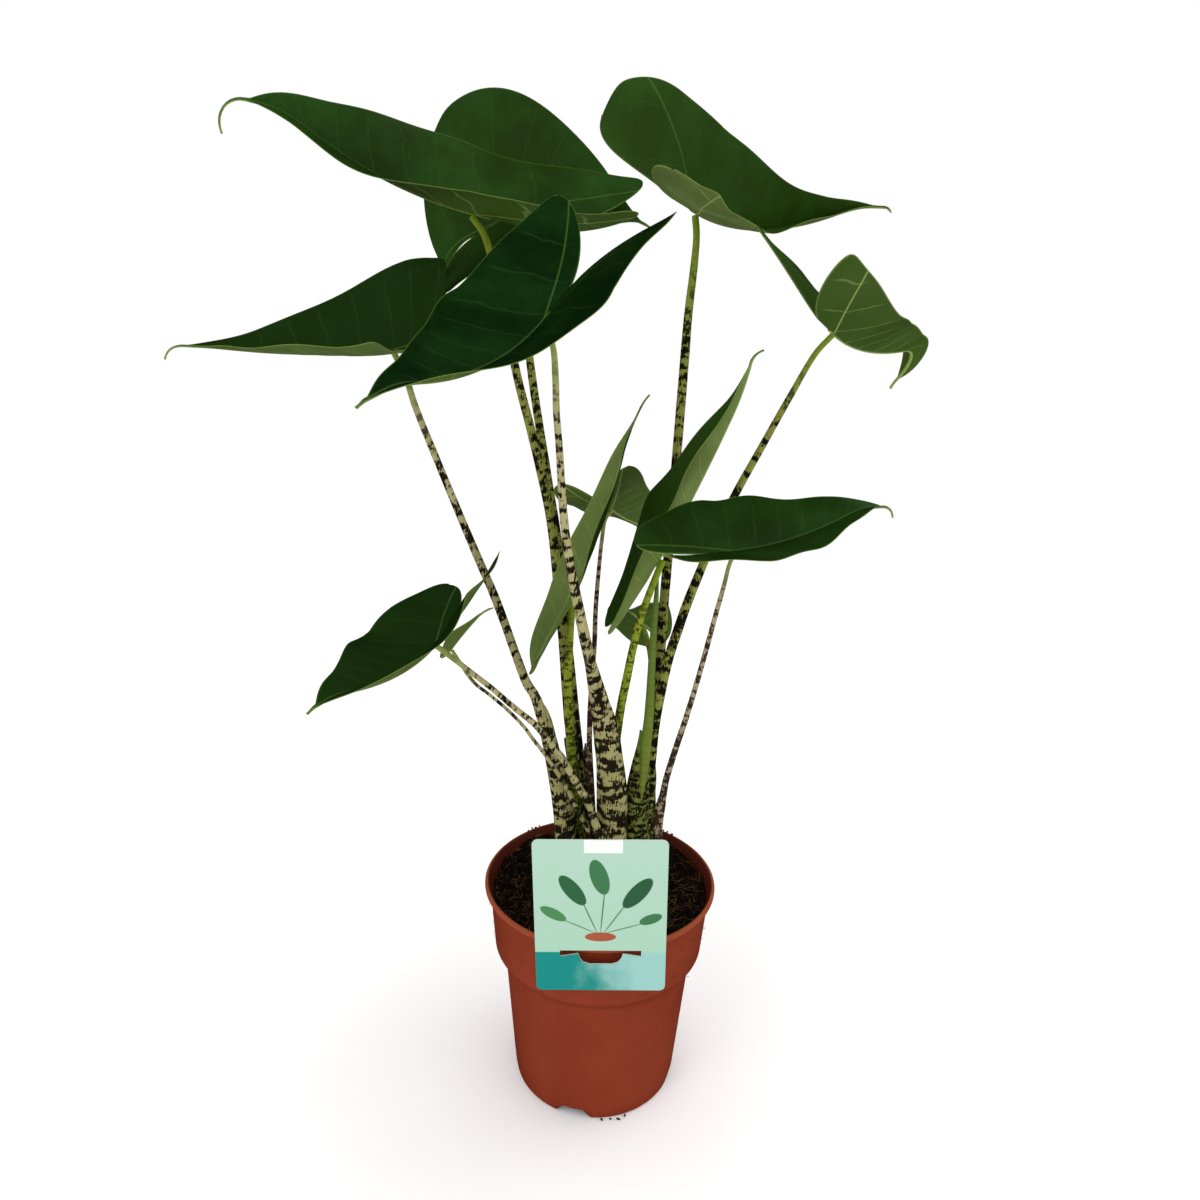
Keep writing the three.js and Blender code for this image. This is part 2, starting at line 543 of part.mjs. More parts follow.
function soil() {
  const sides = 32;
  const rings = [0.3, 0.55, 0.8, 1];
  const wall = insideOfPot().filter(([r, z]) => r > 0 && z < SOIL_LEVEL - 4);
  const topRadius = 80.2 - POT_WALL - GAP - 0.6;
  const points = [[0, 0, soilHeight(0, 0)]];
  const circle = (r, height) => {
    for (let i = 0; i < sides; i++) {
      const turn = i / sides * 2 * Math.PI;
      const [x, y] = [r * Math.cos(turn), r * Math.sin(turn)];
      points.push([x, y, height(x, y)]);
    }
  };
  for (const share of rings) circle(topRadius * share, soilHeight);
  for (const [r, z] of wall) circle(r - GAP - 0.35, () => Math.max(z, FLOOR_TOP + GAP));
  const count = (points.length - 1) / sides;
  points.push([0, 0, FLOOR_TOP + GAP]);
  const triangles = [];
  for (let i = 0; i < sides; i++) {
    const next = (i + 1) % sides;
    triangles.push([0, 1 + i, 1 + next]);
    for (let k = 0; k < count - 1; k++) {
      const [a, b] = [1 + k * sides + i, 1 + k * sides + next];
      triangles.push([a, a + sides, b + sides], [a, b + sides, b]);
    }
    const last = 1 + (count - 1) * sides;
    triangles.push([last + i, points.length - 1, last + next]);
  }
  let body = manifoldOf(geometryOf(points, triangles));
  for (const places of [...Object.values(LEAVES).map(stalkPlaces), SHEATH]) {
    const sidesHere = places === SHEATH ? SHEATH_SIDES : STALK_SIDES;
    const hole = manifoldOf(stem(places, sidesHere, HOLE_CLEARANCE));
    body = body.subtract(hole).subtract(hole.translate([0, 0, -HOLE_CLEARANCE]));
  }
  return geometryFrom(body);
}

// Plant card

function tongueOutline(grow) {
  const right = TONGUE_HALF.map(([x, y]) => [x + grow, y + (y > 0 ? grow : 0)]);
  const left = [...right].reverse().map(([x, y]) => [-x, y]);
  return [...right, ...left];
}

function plantCard() {
  const half = CARD_WIDTH / 2;
  const r = CARD_CORNER;
  const card = new THREE.Shape();
  card.moveTo(-half + r, -CARD_BELOW);
  card.lineTo(half - r, -CARD_BELOW);
  card.quadraticCurveTo(half, -CARD_BELOW, half, -CARD_BELOW + r);
  card.lineTo(half, CARD_ABOVE - r);
  card.quadraticCurveTo(half, CARD_ABOVE, half - r, CARD_ABOVE);
  card.lineTo(-half + r, CARD_ABOVE);
  card.quadraticCurveTo(-half, CARD_ABOVE, -half, CARD_ABOVE - r);
  card.lineTo(-half, -CARD_BELOW + r);
  card.quadraticCurveTo(-half, -CARD_BELOW, -half + r, -CARD_BELOW);
  const slot = tongueOutline(SLOT_GAP).map(([x, y]) => new THREE.Vector2(x, -y));
  card.holes.push(new THREE.Path(slot));
  const sheet = { depth: CARD_THICK, bevelEnabled: false, curveSegments: 3 };
  const front = new THREE.ExtrudeGeometry(card, sheet);
  front.translate(0, 0, -CARD_THICK / 2);
  front.rotateX(Math.PI / 2);
  front.rotateY(rad(-CARD_TURN));
  front.rotateX(rad(CARD_TILT));
  // The tongue lies back over the rim, level, and joins the card along the fold
  const tongue = tongueOutline(0).map(([x, y]) => new THREE.Vector2(x, y));
  tongue[0].y = -CARD_THICK;
  tongue[tongue.length - 1].y = -CARD_THICK;
  const flap = new THREE.ExtrudeGeometry(new THREE.Shape(tongue), sheet);
  flap.translate(0, 0, -CARD_THICK / 2);
  flap.rotateY(rad(-CARD_TURN));
  flap.translate(0, CARD_THICK / 2, 0);
  const body = manifoldOf(front).add(manifoldOf(flap));
  const geometry = geometryFrom(body);
  geometry.translate(CARD_HINGE.x, CARD_HINGE.y, CARD_HINGE.z);
  return geometry;
}

// Assembly

const plant = new THREE.Group();
plant.name = 'potted_zebrina_alocasia';

function add(name, geometry, color, roughness) {
  const bare = geometry.clone();
  bare.deleteAttribute('normal');
  bare.deleteAttribute('uv');
  const clean = mergeVertices(bare, 1e-4);
  clean.computeVertexNormals();
  const material = new THREE.MeshStandardMaterial({ color, roughness, metalness: 0 });
  material.name = name;
  const mesh = new THREE.Mesh(clean, material);
  mesh.name = name;
  plant.add(mesh);
}

add('pot', pot(), 0x84402b, 0.6);
add('potting_soil', soil(), 0x2b1c14, 1);
add('plant_card', plantCard(), 0xbfe3d0, 0.5);
for (const [name, leaf] of Object.entries(LEAVES)) {
  add(`blade_${name}`, blade(leaf), 0x1c4a22, 0.4);
  add(`stalk_${name}`, stem(stalkPlaces(leaf), STALK_SIDES), 0x8f9a62, 0.6);
}
add('rolled_new_leaf', stem(SPEAR, STALK_SIDES), 0x6f9a4a, 0.5);
add('new_leaf_sheath', leafSheath(), 0x4c4a30, 0.6);

export default plant;
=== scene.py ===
import math

import bmesh
import bpy
import numpy as np
from mathutils import Matrix, Vector


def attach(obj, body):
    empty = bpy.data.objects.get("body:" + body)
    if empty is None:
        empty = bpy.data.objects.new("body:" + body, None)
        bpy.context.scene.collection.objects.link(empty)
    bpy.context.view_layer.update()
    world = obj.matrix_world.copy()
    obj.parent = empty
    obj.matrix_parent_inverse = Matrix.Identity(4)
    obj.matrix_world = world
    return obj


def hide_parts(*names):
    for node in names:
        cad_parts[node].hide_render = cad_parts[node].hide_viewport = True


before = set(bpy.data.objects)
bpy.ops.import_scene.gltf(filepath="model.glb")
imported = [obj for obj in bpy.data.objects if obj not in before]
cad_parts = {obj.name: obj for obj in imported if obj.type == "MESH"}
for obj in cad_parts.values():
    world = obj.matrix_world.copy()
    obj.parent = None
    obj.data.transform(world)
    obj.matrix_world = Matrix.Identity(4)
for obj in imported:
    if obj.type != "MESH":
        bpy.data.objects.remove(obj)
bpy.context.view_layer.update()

MM = 0.001

# Kinds of node that come back often, some with a setting. A range takes a value, where it starts
# and ends, and what it gives there, which is 0 and 1 where it isn't said; an eased one starts and
# ends softly.
MATHS = "ShaderNodeMath"
TIMES = (MATHS, {"operation": "MULTIPLY"})
TIMES_PLUS = (MATHS, {"operation": "MULTIPLY_ADD"})
VECTORS = "ShaderNodeVectorMath"
MIX = "ShaderNodeMix"
RANGE = "ShaderNodeMapRange"
EASED = (RANGE, {"interpolation_type": "SMOOTHSTEP"})
SPLIT = "ShaderNodeSeparateXYZ"
JOIN = "ShaderNodeCombineXYZ"
NOISE = "ShaderNodeTexNoise"
BUMP = "ShaderNodeBump"
ATTRIBUTE = "ShaderNodeAttribute"
COORDINATES = "ShaderNodeTexCoord"
SHINE = "Specular IOR Level"

# Pot, soil and card
POT_HEIGHT = 162
POT_WALL = 1.7
POT_SIDES = 160
POT_FOOT = [(0, 0), (36, 0), (38, 3), (51, 3), (53, 0)]
POT_OUTSIDE = [
    (59.5, 0), (60.5, 1.2), (61.6, 8), (69.7, 100), (70.6, 103.5), (74.4, 107),
    (77.3, 111.5), (81, 155.5), (82.2, 157.3), (84.2, 157.7), (85, 158.6), (85, 160.6),
    (84.3, 161.7), (83.1, POT_HEIGHT),
]
POT_LIP = (82.2, POT_HEIGHT - 0.5)
POT_FLOOR = [(58.6, 4.8), (0, 4.8)]
NOTCH_COUNT = 4
NOTCH_TURN = -104
NOTCH = [(-15, -1), (15, -1), (7.5, 8), (-7.5, 8)]
NOTCH_REACH = (52, 66)
SOIL_LEVEL = 147
# How far below its level the soil still counts as its top
SOIL_EDGE = 6
SOIL_RADIUS = 77.4
SOIL_RINGS = 90
SOIL_SIDES = 260
SOIL_WALL = [(74.6, 112), (71, 107.5), (67.8, 103), (66.9, 99), (58.7, 8), (56, 5.2)]
ROOT_LEVEL = 136
CARD_HALF = 42.25
CARD_ABOVE = 84.5
CARD_BELOW = 32.5
CARD_THICK = 0.8
CARD_CORNER = 4
CARD_TILT = 5
CARD_TURN = 1.8
CARD_HINGE = (1, -88, 163.1)
SLOT_GAP = 0.5
TONGUE_HALF = [(25.8, 0), (25.8, 4.4), (14, 2.2), (13, 6), (10.8, 9), (6.9, 10.6)]
BAND_TOP = -1.0
# The bare patch at the top of the card: its middle, half its width and its foot
BARE_PATCH = (2.0, 12.0, 75.0)

# Shapes printed on the card, each from its foot to its tip with half its width and its colour
STEM_GREEN = "#5f8a62"
PRINT_SHAPES = [
    ((-2, 14), (-12, 40), 0.5, STEM_GREEN), ((0, 14), (3, 50), 0.5, STEM_GREEN),
    ((2, 14), (17, 38), 0.5, STEM_GREEN), ((-3, 14), (-25, 25), 0.45, STEM_GREEN),
    ((3, 14), (28, 22), 0.45, STEM_GREEN),
    ((-10, 36), (-25, 58), 5.2, "#2f6640"), ((3, 44), (-4, 70), 5.6, "#3f7a4c"),
    ((15, 34), (32, 56), 5.4, "#2c5f3c"), ((-22, 24), (-38, 34), 3.8, "#4c8a55"),
    ((25, 22), (39, 28), 3.6, "#3f7a4c"), ((-10, 11), (10, 11), 3.6, "#a8563a"),
]

# Blades: rows run from the midrib to the margin, closer together near the midrib
BLADE_ROWS = 84
LOBE_ROWS = round(BLADE_ROWS * 0.34)
DRIP_ROWS = 10
BLADE_COLUMNS = 18
COLUMN_PLACES = (np.arange(BLADE_COLUMNS + 1) / BLADE_COLUMNS) ** 1.4
# Part of the lobe's margin beside the lobe's rows, and of the other rows before the shoulder
LOBE_MARGIN = 0.86
BEFORE_SHOULDER = 0.12
# Part of the lobe that joins the two halves, and parts of the length where the fold stops
# changing and where the tip starts to hook
JOINED = 0.3
UNFOLD_REACH = 0.6
HOOK_FROM = 0.72
DRIP_WIDTH = 1.1
# Thickness at the margin and how much more at the midrib, the rib's half width, its groove
# above and ridge below, and the swell of the skin between the side veins
MARGIN_THICK = 0.42
MIDRIB_EXTRA = 0.45
RIB_WIDTH = 1.5
RIB_GROOVE = 0.2
RIB_RIDGE = 0.7
QUILT = 0.25
# Side veins: their lean towards the tip, how they turn further outwards, and the gap between two
# as a part of the blade's length and of the lobe's
VEIN_LEAN = 0.35
VEIN_TURN = 0.6
VEIN_GAP = 0.155
LOBE_VEIN_GAP = 0.26
NO_RIB = 50.0

# Values of each leaf, in the order of KEYS. The heading, rise and roll turn the blade about its
# joint. Bend and hook curl the midrib, fold and curl shape the left and right half across it, and
# unfold is what the fold changes by towards the tip. Fresh is how young and pale the green is, and
# the last pair says how much darker the upper and the lower face are painted, from 0 to 1: partly
# the leaf's own darker tone and partly painted shade, for leaves that lie in shadow under others.
KEYS = ("joint heading rise roll twist length width lobe spread round widest full fold unfold "
        "curl bend hook sweep lobe_bend drip drip_hook wave waves fresh shade").split()
LEAVES = {
    "top_left": ((-100.4, 61.9, 625.2), 185.9, 11.2, -25.8, -21, 154, 58.2, 131.6, 29.4, 0.28, -20,
        0.4, (33, 38), (-7, 2), (-6, -20), -34, 35.3, -1.9, (-24, -8), 34, -110, 0.8, 4, 0.15,
        (0.1, 0.8)),
    "top_back": ((-93, 139, 632), -37, 19, 60, -9, 119, 90, 88, 10, 0.36, -6, 0.1, (28, 9), (0, 0),
        (27, 21), 64, -1, -6, (39, 37), 6, 0, 1, 4, 0.2, (0.2, 0.5)),
    "left": ((-147, 18, 534), 168, -6, -32, 17, 154, 75, 39, 21, 0.78, -27, 0.14, (19, 13), (0, 0),
        (26, 20), -13, 7, -5, (0, 8), 24, -60, 0.8, 4, 0.1, (0.8, 0.3)),
    "front": ((-42, -71, 551), -125, -39, 2, -16, 130, 57, 101, 21, 0.32, -9, 0.29, (21, 24),
        (0, 0), (-8, 2), -49, 33, -4, (22, -22), 6, -20, 1, 4, 0, (0.6, 0.3)),
    "top_right": ((51, 54.6, 628), 46.8, -11.3, 51.7, -1.8, 159.4, 58.5, 90.3, 23, 0.53, -45, 0,
        (37, 32), (28, 18), (18, 7), -72.8, 47.1, -3, (30, -20), 10, -40, 1, 4, 0.25, (0, 0.2)),
    "right": ((143.8, 34, 553.4), 54.5, -15.3, 32.2, -4.4, 144, 43.8, 102.7, 21.5, 0.21, -11.2,
        0.52, (35, 45), (-12, 17), (-22, 7), -38.7, 139.5, -4.2, (0, -9), 8, 30, 0.6, 4, 0.4,
        (0.6, 0.85)),
    "mid_right": ((74, -56, 422), 18, 4, 6, 3, 105, 48, 60, 20, 0.4, -2, 0.36, (27, 20), (0, 0),
        (-4, -15), -30, 34, 0, (7, -12), 12, -80, 1.2, 4, 0.1, (0.45, 0.2)),
    "upright_right": ((33, 5, 403), -2, 64, 2, 0, 140, 38, 63, 6, 0.17, 18, 0.36, (36, 38), (0, 0),
        (1, -26), -6, -8, 0, (-14, -5), 12, -60, 1.2, 3, 0.3, (0.6, 0)),
    "upright_left": ((-26.4, 5.2, 375.5), 195.6, 117, -11.5, 3.5, 133.7, 34.1, 61.3, 10.5, 0.23,
        -13.6, 0.26, (3, -8), (-14, -16), (-14, -28), 18.2, -15.4, -4.9, (5, -7), 12, 20, 1.2, 3,
        0.35, (0.8, 0)),
    "small_back": ((0, 67, 426), 74, -19, -21, 8, 100, 31, 55, 30, 0.48, -3, 0.28, (21, 16),
        (0, 0), (0, 1), -7, 24, -2, (-49, -34), 6, 0, 1, 3, 0.6, (0.6, 0.55)),
    "low_left": ((-111, -42, 352), -108, -17, 29, -35, 102, 49, 81, 23, 0.39, -10, 0.44, (25, 25),
        (0, 0), (0, 16), -39, 27, -7, (-12, 11), 6, -20, 1.4, 3, 0.1, (0.9, 0.2)),
    "low_small": ((-107, -9, 338), 30, 50, -25, -6, 38, 13, 10, 32, 0.35, 1, 0, (28, 28), (0, 0),
        (-2, 9), 8, 21, -2, (-9, -11), 3, 0, 0.4, 2, 0.8, (0.3, 0.4)),
    "low_back": ((26, 76, 337), -114, 36, 22, -24, 66, 25, 43, 12, 0.41, -4, 0.26, (21, 12),
        (0, 0), (4, -5), 34, -8, 1, (24, 20), 5, 0, 1, 3, 0.7, (0.6, 0.8)),
}
LEAVES = {name: dict(zip(KEYS, values), name=name) for name, values in LEAVES.items()}

# Degrees from the middle of the back lobes to their ribs where it isn't the usual -4
RIB_TURN = {"top_right": 21, "right": 9}

# Steps along each stalk
LINE_STEPS = 120
# Stalks from the root to below the joint, as place and radius
STALKS = {
    "top_left": [(-13.8, 19, ROOT_LEVEL, 4.6), (-16, 20, 180, 4.6), (-22, 22, 242, 4.3),
        (-26.1, 24, 275, 4.1), (-29.2, 30, 304, 4.1), (-32.5, 42, 331, 3.9),
        (-37.4, 52, 367, 3.7), (-44, 55, 419, 3.5), (-57.1, 52, 476, 3.2), (-68.1, 53, 516, 3),
        (-82.1, 56, 576, 2.7), (-92.7, 60, 612, 2.4)],
    "top_back": [(-9.5, 28, ROOT_LEVEL, 4.3), (-11.5, 29, 175, 4.3), (-17.7, 32, 235, 4),
        (-22.4, 38, 268, 4), (-26.5, 48, 298, 4), (-30.5, 58, 326, 3.8), (-35.1, 66, 363, 3.6),
        (-39.4, 71, 397, 3.6), (-48, 77, 445, 3.2), (-58.9, 94, 499, 3.1),
        (-63.9, 105, 525, 3.1), (-68.7, 114, 553, 2.8)],
    "left": [(-24.9, -4, ROOT_LEVEL, 7.3), (-26.6, -4, 194, 7.3), (-29.2, -4, 221, 7.1),
        (-32.8, -4, 240, 6.3), (-36.3, -4, 256, 5.5), (-40.5, -5, 275, 4.9),
        (-45.1, -7, 293, 4.2), (-50.4, -9, 308, 3.3), (-54.9, -9, 315, 3.2),
        (-62.8, -4, 333, 3), (-78.6, 10, 369, 3), (-92, 15, 398, 2.8), (-102.8, 17, 423, 2.6),
        (-118.4, 18, 461, 2.4), (-133.4, 18, 499, 2.2), (-138.9, 18, 517, 2)],
    "front": [(8.3, -10, ROOT_LEVEL, 10), (7.7, -10, 199, 10), (6.7, -10, 229, 9.8),
        (5.4, -10, 245, 9.6), (3.1, -10, 262, 8.9), (0.8, -11, 277, 8.6),
        (-2.1, -11, 293, 7.5), (-5.3, -13, 308, 6.4), (-8.8, -18, 324, 4.9),
        (-11.8, -26, 339, 3.8), (-15.6, -37, 359, 3.7), (-20.4, -46, 384, 3.3),
        (-25.9, -50, 412, 2.8), (-29.9, -54, 441, 2.5), (-32.9, -59, 481, 2.1),
        (-34.7, -62, 501, 2), (-35.4, -65, 520, 1.9), (-36.9, -68, 537, 1.7)],
    "top_right": [(31.5, 25, ROOT_LEVEL, 4.8), (31.9, 24, 180, 4.8), (32.6, 23, 216, 4.3),
        (34.1, 22, 248, 4.1), (35.2, 22, 274, 4), (36.6, 23, 300, 3.9), (38.7, 27, 331, 3.7),
        (40, 34, 364, 3.5), (42.7, 42, 422, 3.4), (44.9, 46, 480, 3.3), (46.7, 49, 532, 3.2),
        (47.7, 49, 565, 2.9), (50, 50, 597, 2.5), (50.5, 51, 614, 2.3)],
    "right": [(32.5, 15, ROOT_LEVEL, 4.5), (32.8, 14, 185, 4.5), (33.2, 13, 218, 4.3),
        (34.3, 11, 249, 4), (35.5, 9, 276, 3.8), (37.6, 7, 297, 3.6), (40.1, 8, 313, 3.5),
        (43.7, 11, 331, 3.5), (48.8, 15, 348, 3.5), (54.5, 19, 366, 3.4), (64.6, 24, 394, 3.1),
        (76, 29, 423, 2.9), (86.5, 31, 447, 2.8), (101.8, 33, 478, 2.5), (118.9, 34, 513, 2.2),
        (133.3, 34, 541, 1.9)],
    "mid_right": [(39.4, -12, ROOT_LEVEL, 3.9), (39.7, -12, 201, 3.9), (40.1, -12, 214, 3.8),
        (41.6, -12, 228, 3.5), (42.7, -12, 235, 2.7), (44.1, -13, 247, 2.3),
        (48.9, -17, 272, 2.2), (53.8, -24, 297, 2), (58.8, -32, 326, 1.8),
        (63.4, -38, 354, 1.7), (67.1, -44, 379, 1.6), (70.4, -49, 400, 1.4),
        (71.9, -51, 411, 1.3)],
    "upright_right": [(8.5, 7, ROOT_LEVEL, 4.3), (8.1, 8, 188, 4.3), (7.6, 9, 227, 3.9),
        (8.2, 9, 263, 3.4), (9.7, 9, 281, 3.2), (11.6, 8, 298, 3.1), (14.2, 8, 314, 3.1),
        (17.6, 8, 336, 2.8), (21.9, 7, 359, 2.6), (27.8, 6, 379, 2.5), (32, 5, 392, 2.4)],
    "upright_left": [(-16.7, 9, ROOT_LEVEL, 5.1), (-18, 9, 187, 5.1), (-20.3, 9, 222, 4.8),
        (-22.3, 9, 244, 4.2), (-24.1, 9, 262, 3.5), (-25.6, 9, 280, 3.3), (-26.6, 9, 297, 3.2),
        (-27.5, 10, 313, 3.1), (-27.1, 10, 330, 2.8), (-26.4, 11, 349, 2.5),
        (-26, 12, 361, 2.3)],
    "small_back": [(-5.6, 5, ROOT_LEVEL, 3.7), (-6.8, 6, 189, 3.7), (-8.8, 7, 219, 3.5),
        (-10, 8, 237, 3.3), (-10.8, 9, 253, 2.8), (-10.9, 12, 263, 2), (-11.1, 18, 282, 2),
        (-10.4, 28, 305, 1.9), (-9.4, 38, 333, 1.8), (-9.4, 48, 352, 1.8),
        (-8.2, 56, 378, 1.6), (-6.3, 62, 404, 1.5), (-4.1, 65, 419, 1.4)],
    "low_left": [(0.5, -24, ROOT_LEVEL, 3), (-1.8, -24, 207, 3), (-5.8, -24, 221, 2.9),
        (-10.3, -25, 235, 2.8), (-16.8, -26, 246, 2.7), (-22.6, -27, 257, 2.5),
        (-28.9, -28, 269, 2.4), (-37.2, -30, 281, 2.3), (-47.6, -32, 295, 2.1),
        (-60.3, -33, 306, 2), (-75.6, -36, 321, 1.8), (-89.6, -38, 333, 1.8),
        (-100.9, -40, 343, 1.8)],
    "low_small": [(-2.5, -15, ROOT_LEVEL, 1.8), (-7.5, -15, 201, 1.8), (-15.8, -15, 219, 1.7),
        (-24, -15, 237, 1.6), (-30.7, -14, 248, 1.5), (-37.1, -14, 258, 1.4),
        (-44.7, -14, 269, 1.3), (-51.1, -13, 277, 1.3), (-56, -13, 284, 1.2),
        (-67.6, -12, 296, 1.2), (-80.9, -11, 307, 1.2), (-91.3, -10, 315, 1.2)],
    "low_back": [(40.7, 32, ROOT_LEVEL, 3.1), (39.9, 33, 175, 3.1), (37.9, 36, 223, 2.7),
        (36.3, 45, 267, 2.4), (34.6, 66, 309, 2.1), (29.4, 73, 330, 1.9)],
}
STALK_TOPS = {"upright_left": (-27, 13, 372)}
SPEAR = [(28.4, -5, ROOT_LEVEL, 0.7), (27.8, -5, 229, 1.1), (28, -5, 237, 2),
    (28.7, -4, 246, 2.9), (29.3, -3, 258, 3.7), (29.7, -1, 271, 3.9), (30.8, 2, 285, 3.6),
    (31.4, 5, 299, 3.3), (31.6, 7, 315, 3), (31.6, 8, 333, 2.6), (31.9, 9, 351, 2.4),
    (32.6, 11, 372, 1.9), (33, 13, 388, 0.9)]
SHEATH = [(25.1, 2, ROOT_LEVEL, 9.6), (25, 2, 192, 9.6), (24.8, 2, 223, 8.9),
    (25.6, 2, 239, 7.8), (26.5, 3, 253, 6), (26.8, 4, 264, 3.8), (26.3, 5, 272, 1.8),
    (25.6, 5, 277, 0.7)]

# Sheath wings on the stalks: highest level, the way that they face, and half of their reach round
# the stalk. Each has an inner and an outer face, this far off the stalk.
WING_ROWS = 40
WING_COLUMNS = 20
WING_FACES = (0.25, 1.0)
WING_FOOT = 150
SHEATHS = {
    "left": (300, -20, 120), "front": (322, -60, 120), "top_left": (262, 200, 110),
    "right": (250, -60, 110), "top_right": (240, 230, 110), "mid_right": (214, -150, 120),
    "small_back": (262, 160, 120), "upright_left": (250, 180, 110),
    "upright_right": (262, 230, 110),
}

# Skins of the stalks: their tones at the foot, at the top and in patches, the colour and strength
# of the bars, how bare the skin is at the foot and at the top, how fine the bars are, and where
# they start to end, as a part of the stalk's length
STALK_SKINS = {
    "zebra": ("#8e8e48", "#82863a", "#6c7a2a", "#100b04", 0.98, 0.65, 0.715, 1.1, 0.84),
    "pale_zebra": ("#9d9560", "#b6ab82", "#82843f", "#140d05", 0.98, 0.66, 0.73, 1.15, 0.84),
    "green_zebra": ("#808a2c", "#98a52c", "#6f8420", "#2a270a", 0.9, 0.66, 0.735, 2.0, 0.8),
    "brown_zebra": ("#9a876c", "#ac9b80", "#857652", "#2c1e14", 0.97, 0.635, 0.705, 1.5, 0.84),
}
MOTTLED_SHEATH = ("#7f8340", "#8c8f44", "#5c6a2c", "#12100a", 0.98, 0.655, 0.69, 2.0, 0.84)
# The stalks whose skin isn't the usual zebra one, and the wings with their stalk's own skin
SKIN_OF_STALK = {
    "front": "pale_zebra", "left": "pale_zebra", "low_small": "pale_zebra",
    "low_left": "pale_zebra", "upright_right": "green_zebra", "upright_left": "green_zebra",
    "mid_right": "brown_zebra", "small_back": "brown_zebra",
}
PALE_WINGS = ("front", "left")

# Loose bits of soil on the rim and by the foot: degrees round, distance out and height
LOOSE_BITS = [
    (127, 83.6, 162.7), (130, 82.4, 163.2), (132, 83.6, 163.0), (135, 82.8, 162.8),
    (46, 83.4, 162.7), (49, 82.6, 163.1), (52, 83.6, 162.8), (-68, 62.2, 1.0), (-73, 63.6, 0.8),
    (-78, 62.4, 1.1), (-84, 62.0, 0.8),
]
FIBRE = [(-5, 0, 0, 0.1), (-2.5, 1.6, 0.8, 0.13), (0, 0.2, 1.6, 0.13), (2.6, -1.8, 0.9, 0.12),
         (5, 0.3, 0, 0.08)]

FLOOR_HALF = 6000
# Each softbox's place in metres, the height it aims at, its size and its watts
SOFTBOXES = {
    "key": ((-1.2, -1.5, 1.9), 0.4, 1.2, 9), "fill": ((1.6, -1.0, 1.1), 0.35, 1.4, 3),
    "top": ((0.95, 0.25, 1.7), 0.5, 0.9, 4),
}
# Where the camera stands in metres, how far it looks down and leans over, and its lens
CAMERA_PLACE = (-0.00636, -0.567, 0.5253)
CAMERA_DOWN = 14.95
CAMERA_ROLL = 1.78
CAMERA_LENS = 25.8
CAMERA_SENSOR = 36


def colour(text):
    """A hex colour as a screen shows it, as linear red, green, blue and alpha."""
    parts = [int(text[i:i + 2], 16) / 255 for i in (1, 3, 5)]
    return (*[c / 12.92 if c <= 0.04045 else ((c + 0.055) / 1.055) ** 2.4 for c in parts], 1)


def add(tree, kind, sockets=(), out=0, **options):
    """Adds a node, sets its options, fills or links its inputs, and returns one output."""
    kind, usual = kind if isinstance(kind, tuple) else (kind, {})
    made = tree.nodes.new(kind)
    for key, value in (usual | options).items():
        setattr(made, key, value)
    if not isinstance(sockets, dict):
        sockets = dict(enumerate(sockets))
    for key, value in sockets.items():
        if isinstance(value, bpy.types.NodeSocket):
            tree.links.new(value, made.inputs[key])
        else:
            made.inputs[key].default_value = value
    return made.outputs[out] if made.outputs else made


def layered(tree, ground, layers):
    """Lays colours over the ground, each as strong as its mask times a share."""
    for mask, share, tone in layers:
        mask = add(tree, TIMES, (mask, share))
        ground = add(tree, MIX, {0: mask, 6: ground, 7: colour(tone)}, 2, data_type="RGBA")
    return ground


def new_material(name):
    material = bpy.data.materials.new(name)
    material.use_nodes = True
    material.node_tree.nodes.clear()
    return material, material.node_tree


def surfaced(material, looks):
    """Ends a material with its surface, whose sockets are set or linked as looks says."""
    surface = add(material.node_tree, "ShaderNodeBsdfPrincipled", looks)
    add(material.node_tree, "ShaderNodeOutputMaterial", {"Surface": surface})
    return material


def per_metre(size):
    """How often a pattern comes to the metre, from its size in millimetres."""
    return 1 / (size * MM)


def new_object(name, data):
    made = bpy.data.objects.new(name, data)
    bpy.context.scene.collection.objects.link(made)
    return made


def mesh_object(name, points, faces, material, smooth=60):
    """A mesh from points in millimetres."""
    mesh = bpy.data.meshes.new(name)
    mesh.from_pydata((np.asarray(points, float) * MM).tolist(), [], faces)
    mesh.materials.append(material)
    mesh.polygons.foreach_set("use_smooth", [True] * len(mesh.polygons))
    mesh.set_sharp_from_angle(angle=math.radians(smooth))
    mesh.update()
    return new_object(name, mesh)


def points_of(made):
    """The points of the object's mesh, in millimetres."""
    return np.array([vertex.co[:] for vertex in made.data.vertices]) / MM


def mark(made, **values):
    """Stores one value or vector for each point of the mesh under a name."""
    for key, value in values.items():
        value = np.asarray(value, np.float32)
        kind, field = ("FLOAT_VECTOR", "vector") if value.ndim == 2 else ("FLOAT", "value")
        held = made.data.attributes.new(key, kind, "POINT")
        held.data.foreach_set(field, value.ravel())


def settle(made, node):
    """The piece rides on the plant and stands for a solid, whose own part is hidden."""
    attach(made, "root")
    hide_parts(node)


def evaluated(source, name):
    """The object's mesh with its modifiers worked out, as a new plain object."""
    bpy.context.view_layer.update()
    graph = bpy.context.evaluated_depsgraph_get()
    mesh = bpy.data.meshes.new_from_object(source.evaluated_get(graph),
                                           preserve_all_data_layers=True, depsgraph=graph)
    made = new_object(name, mesh)
    mesh.name = name
    bpy.data.objects.remove(source)
    return made


# Materials

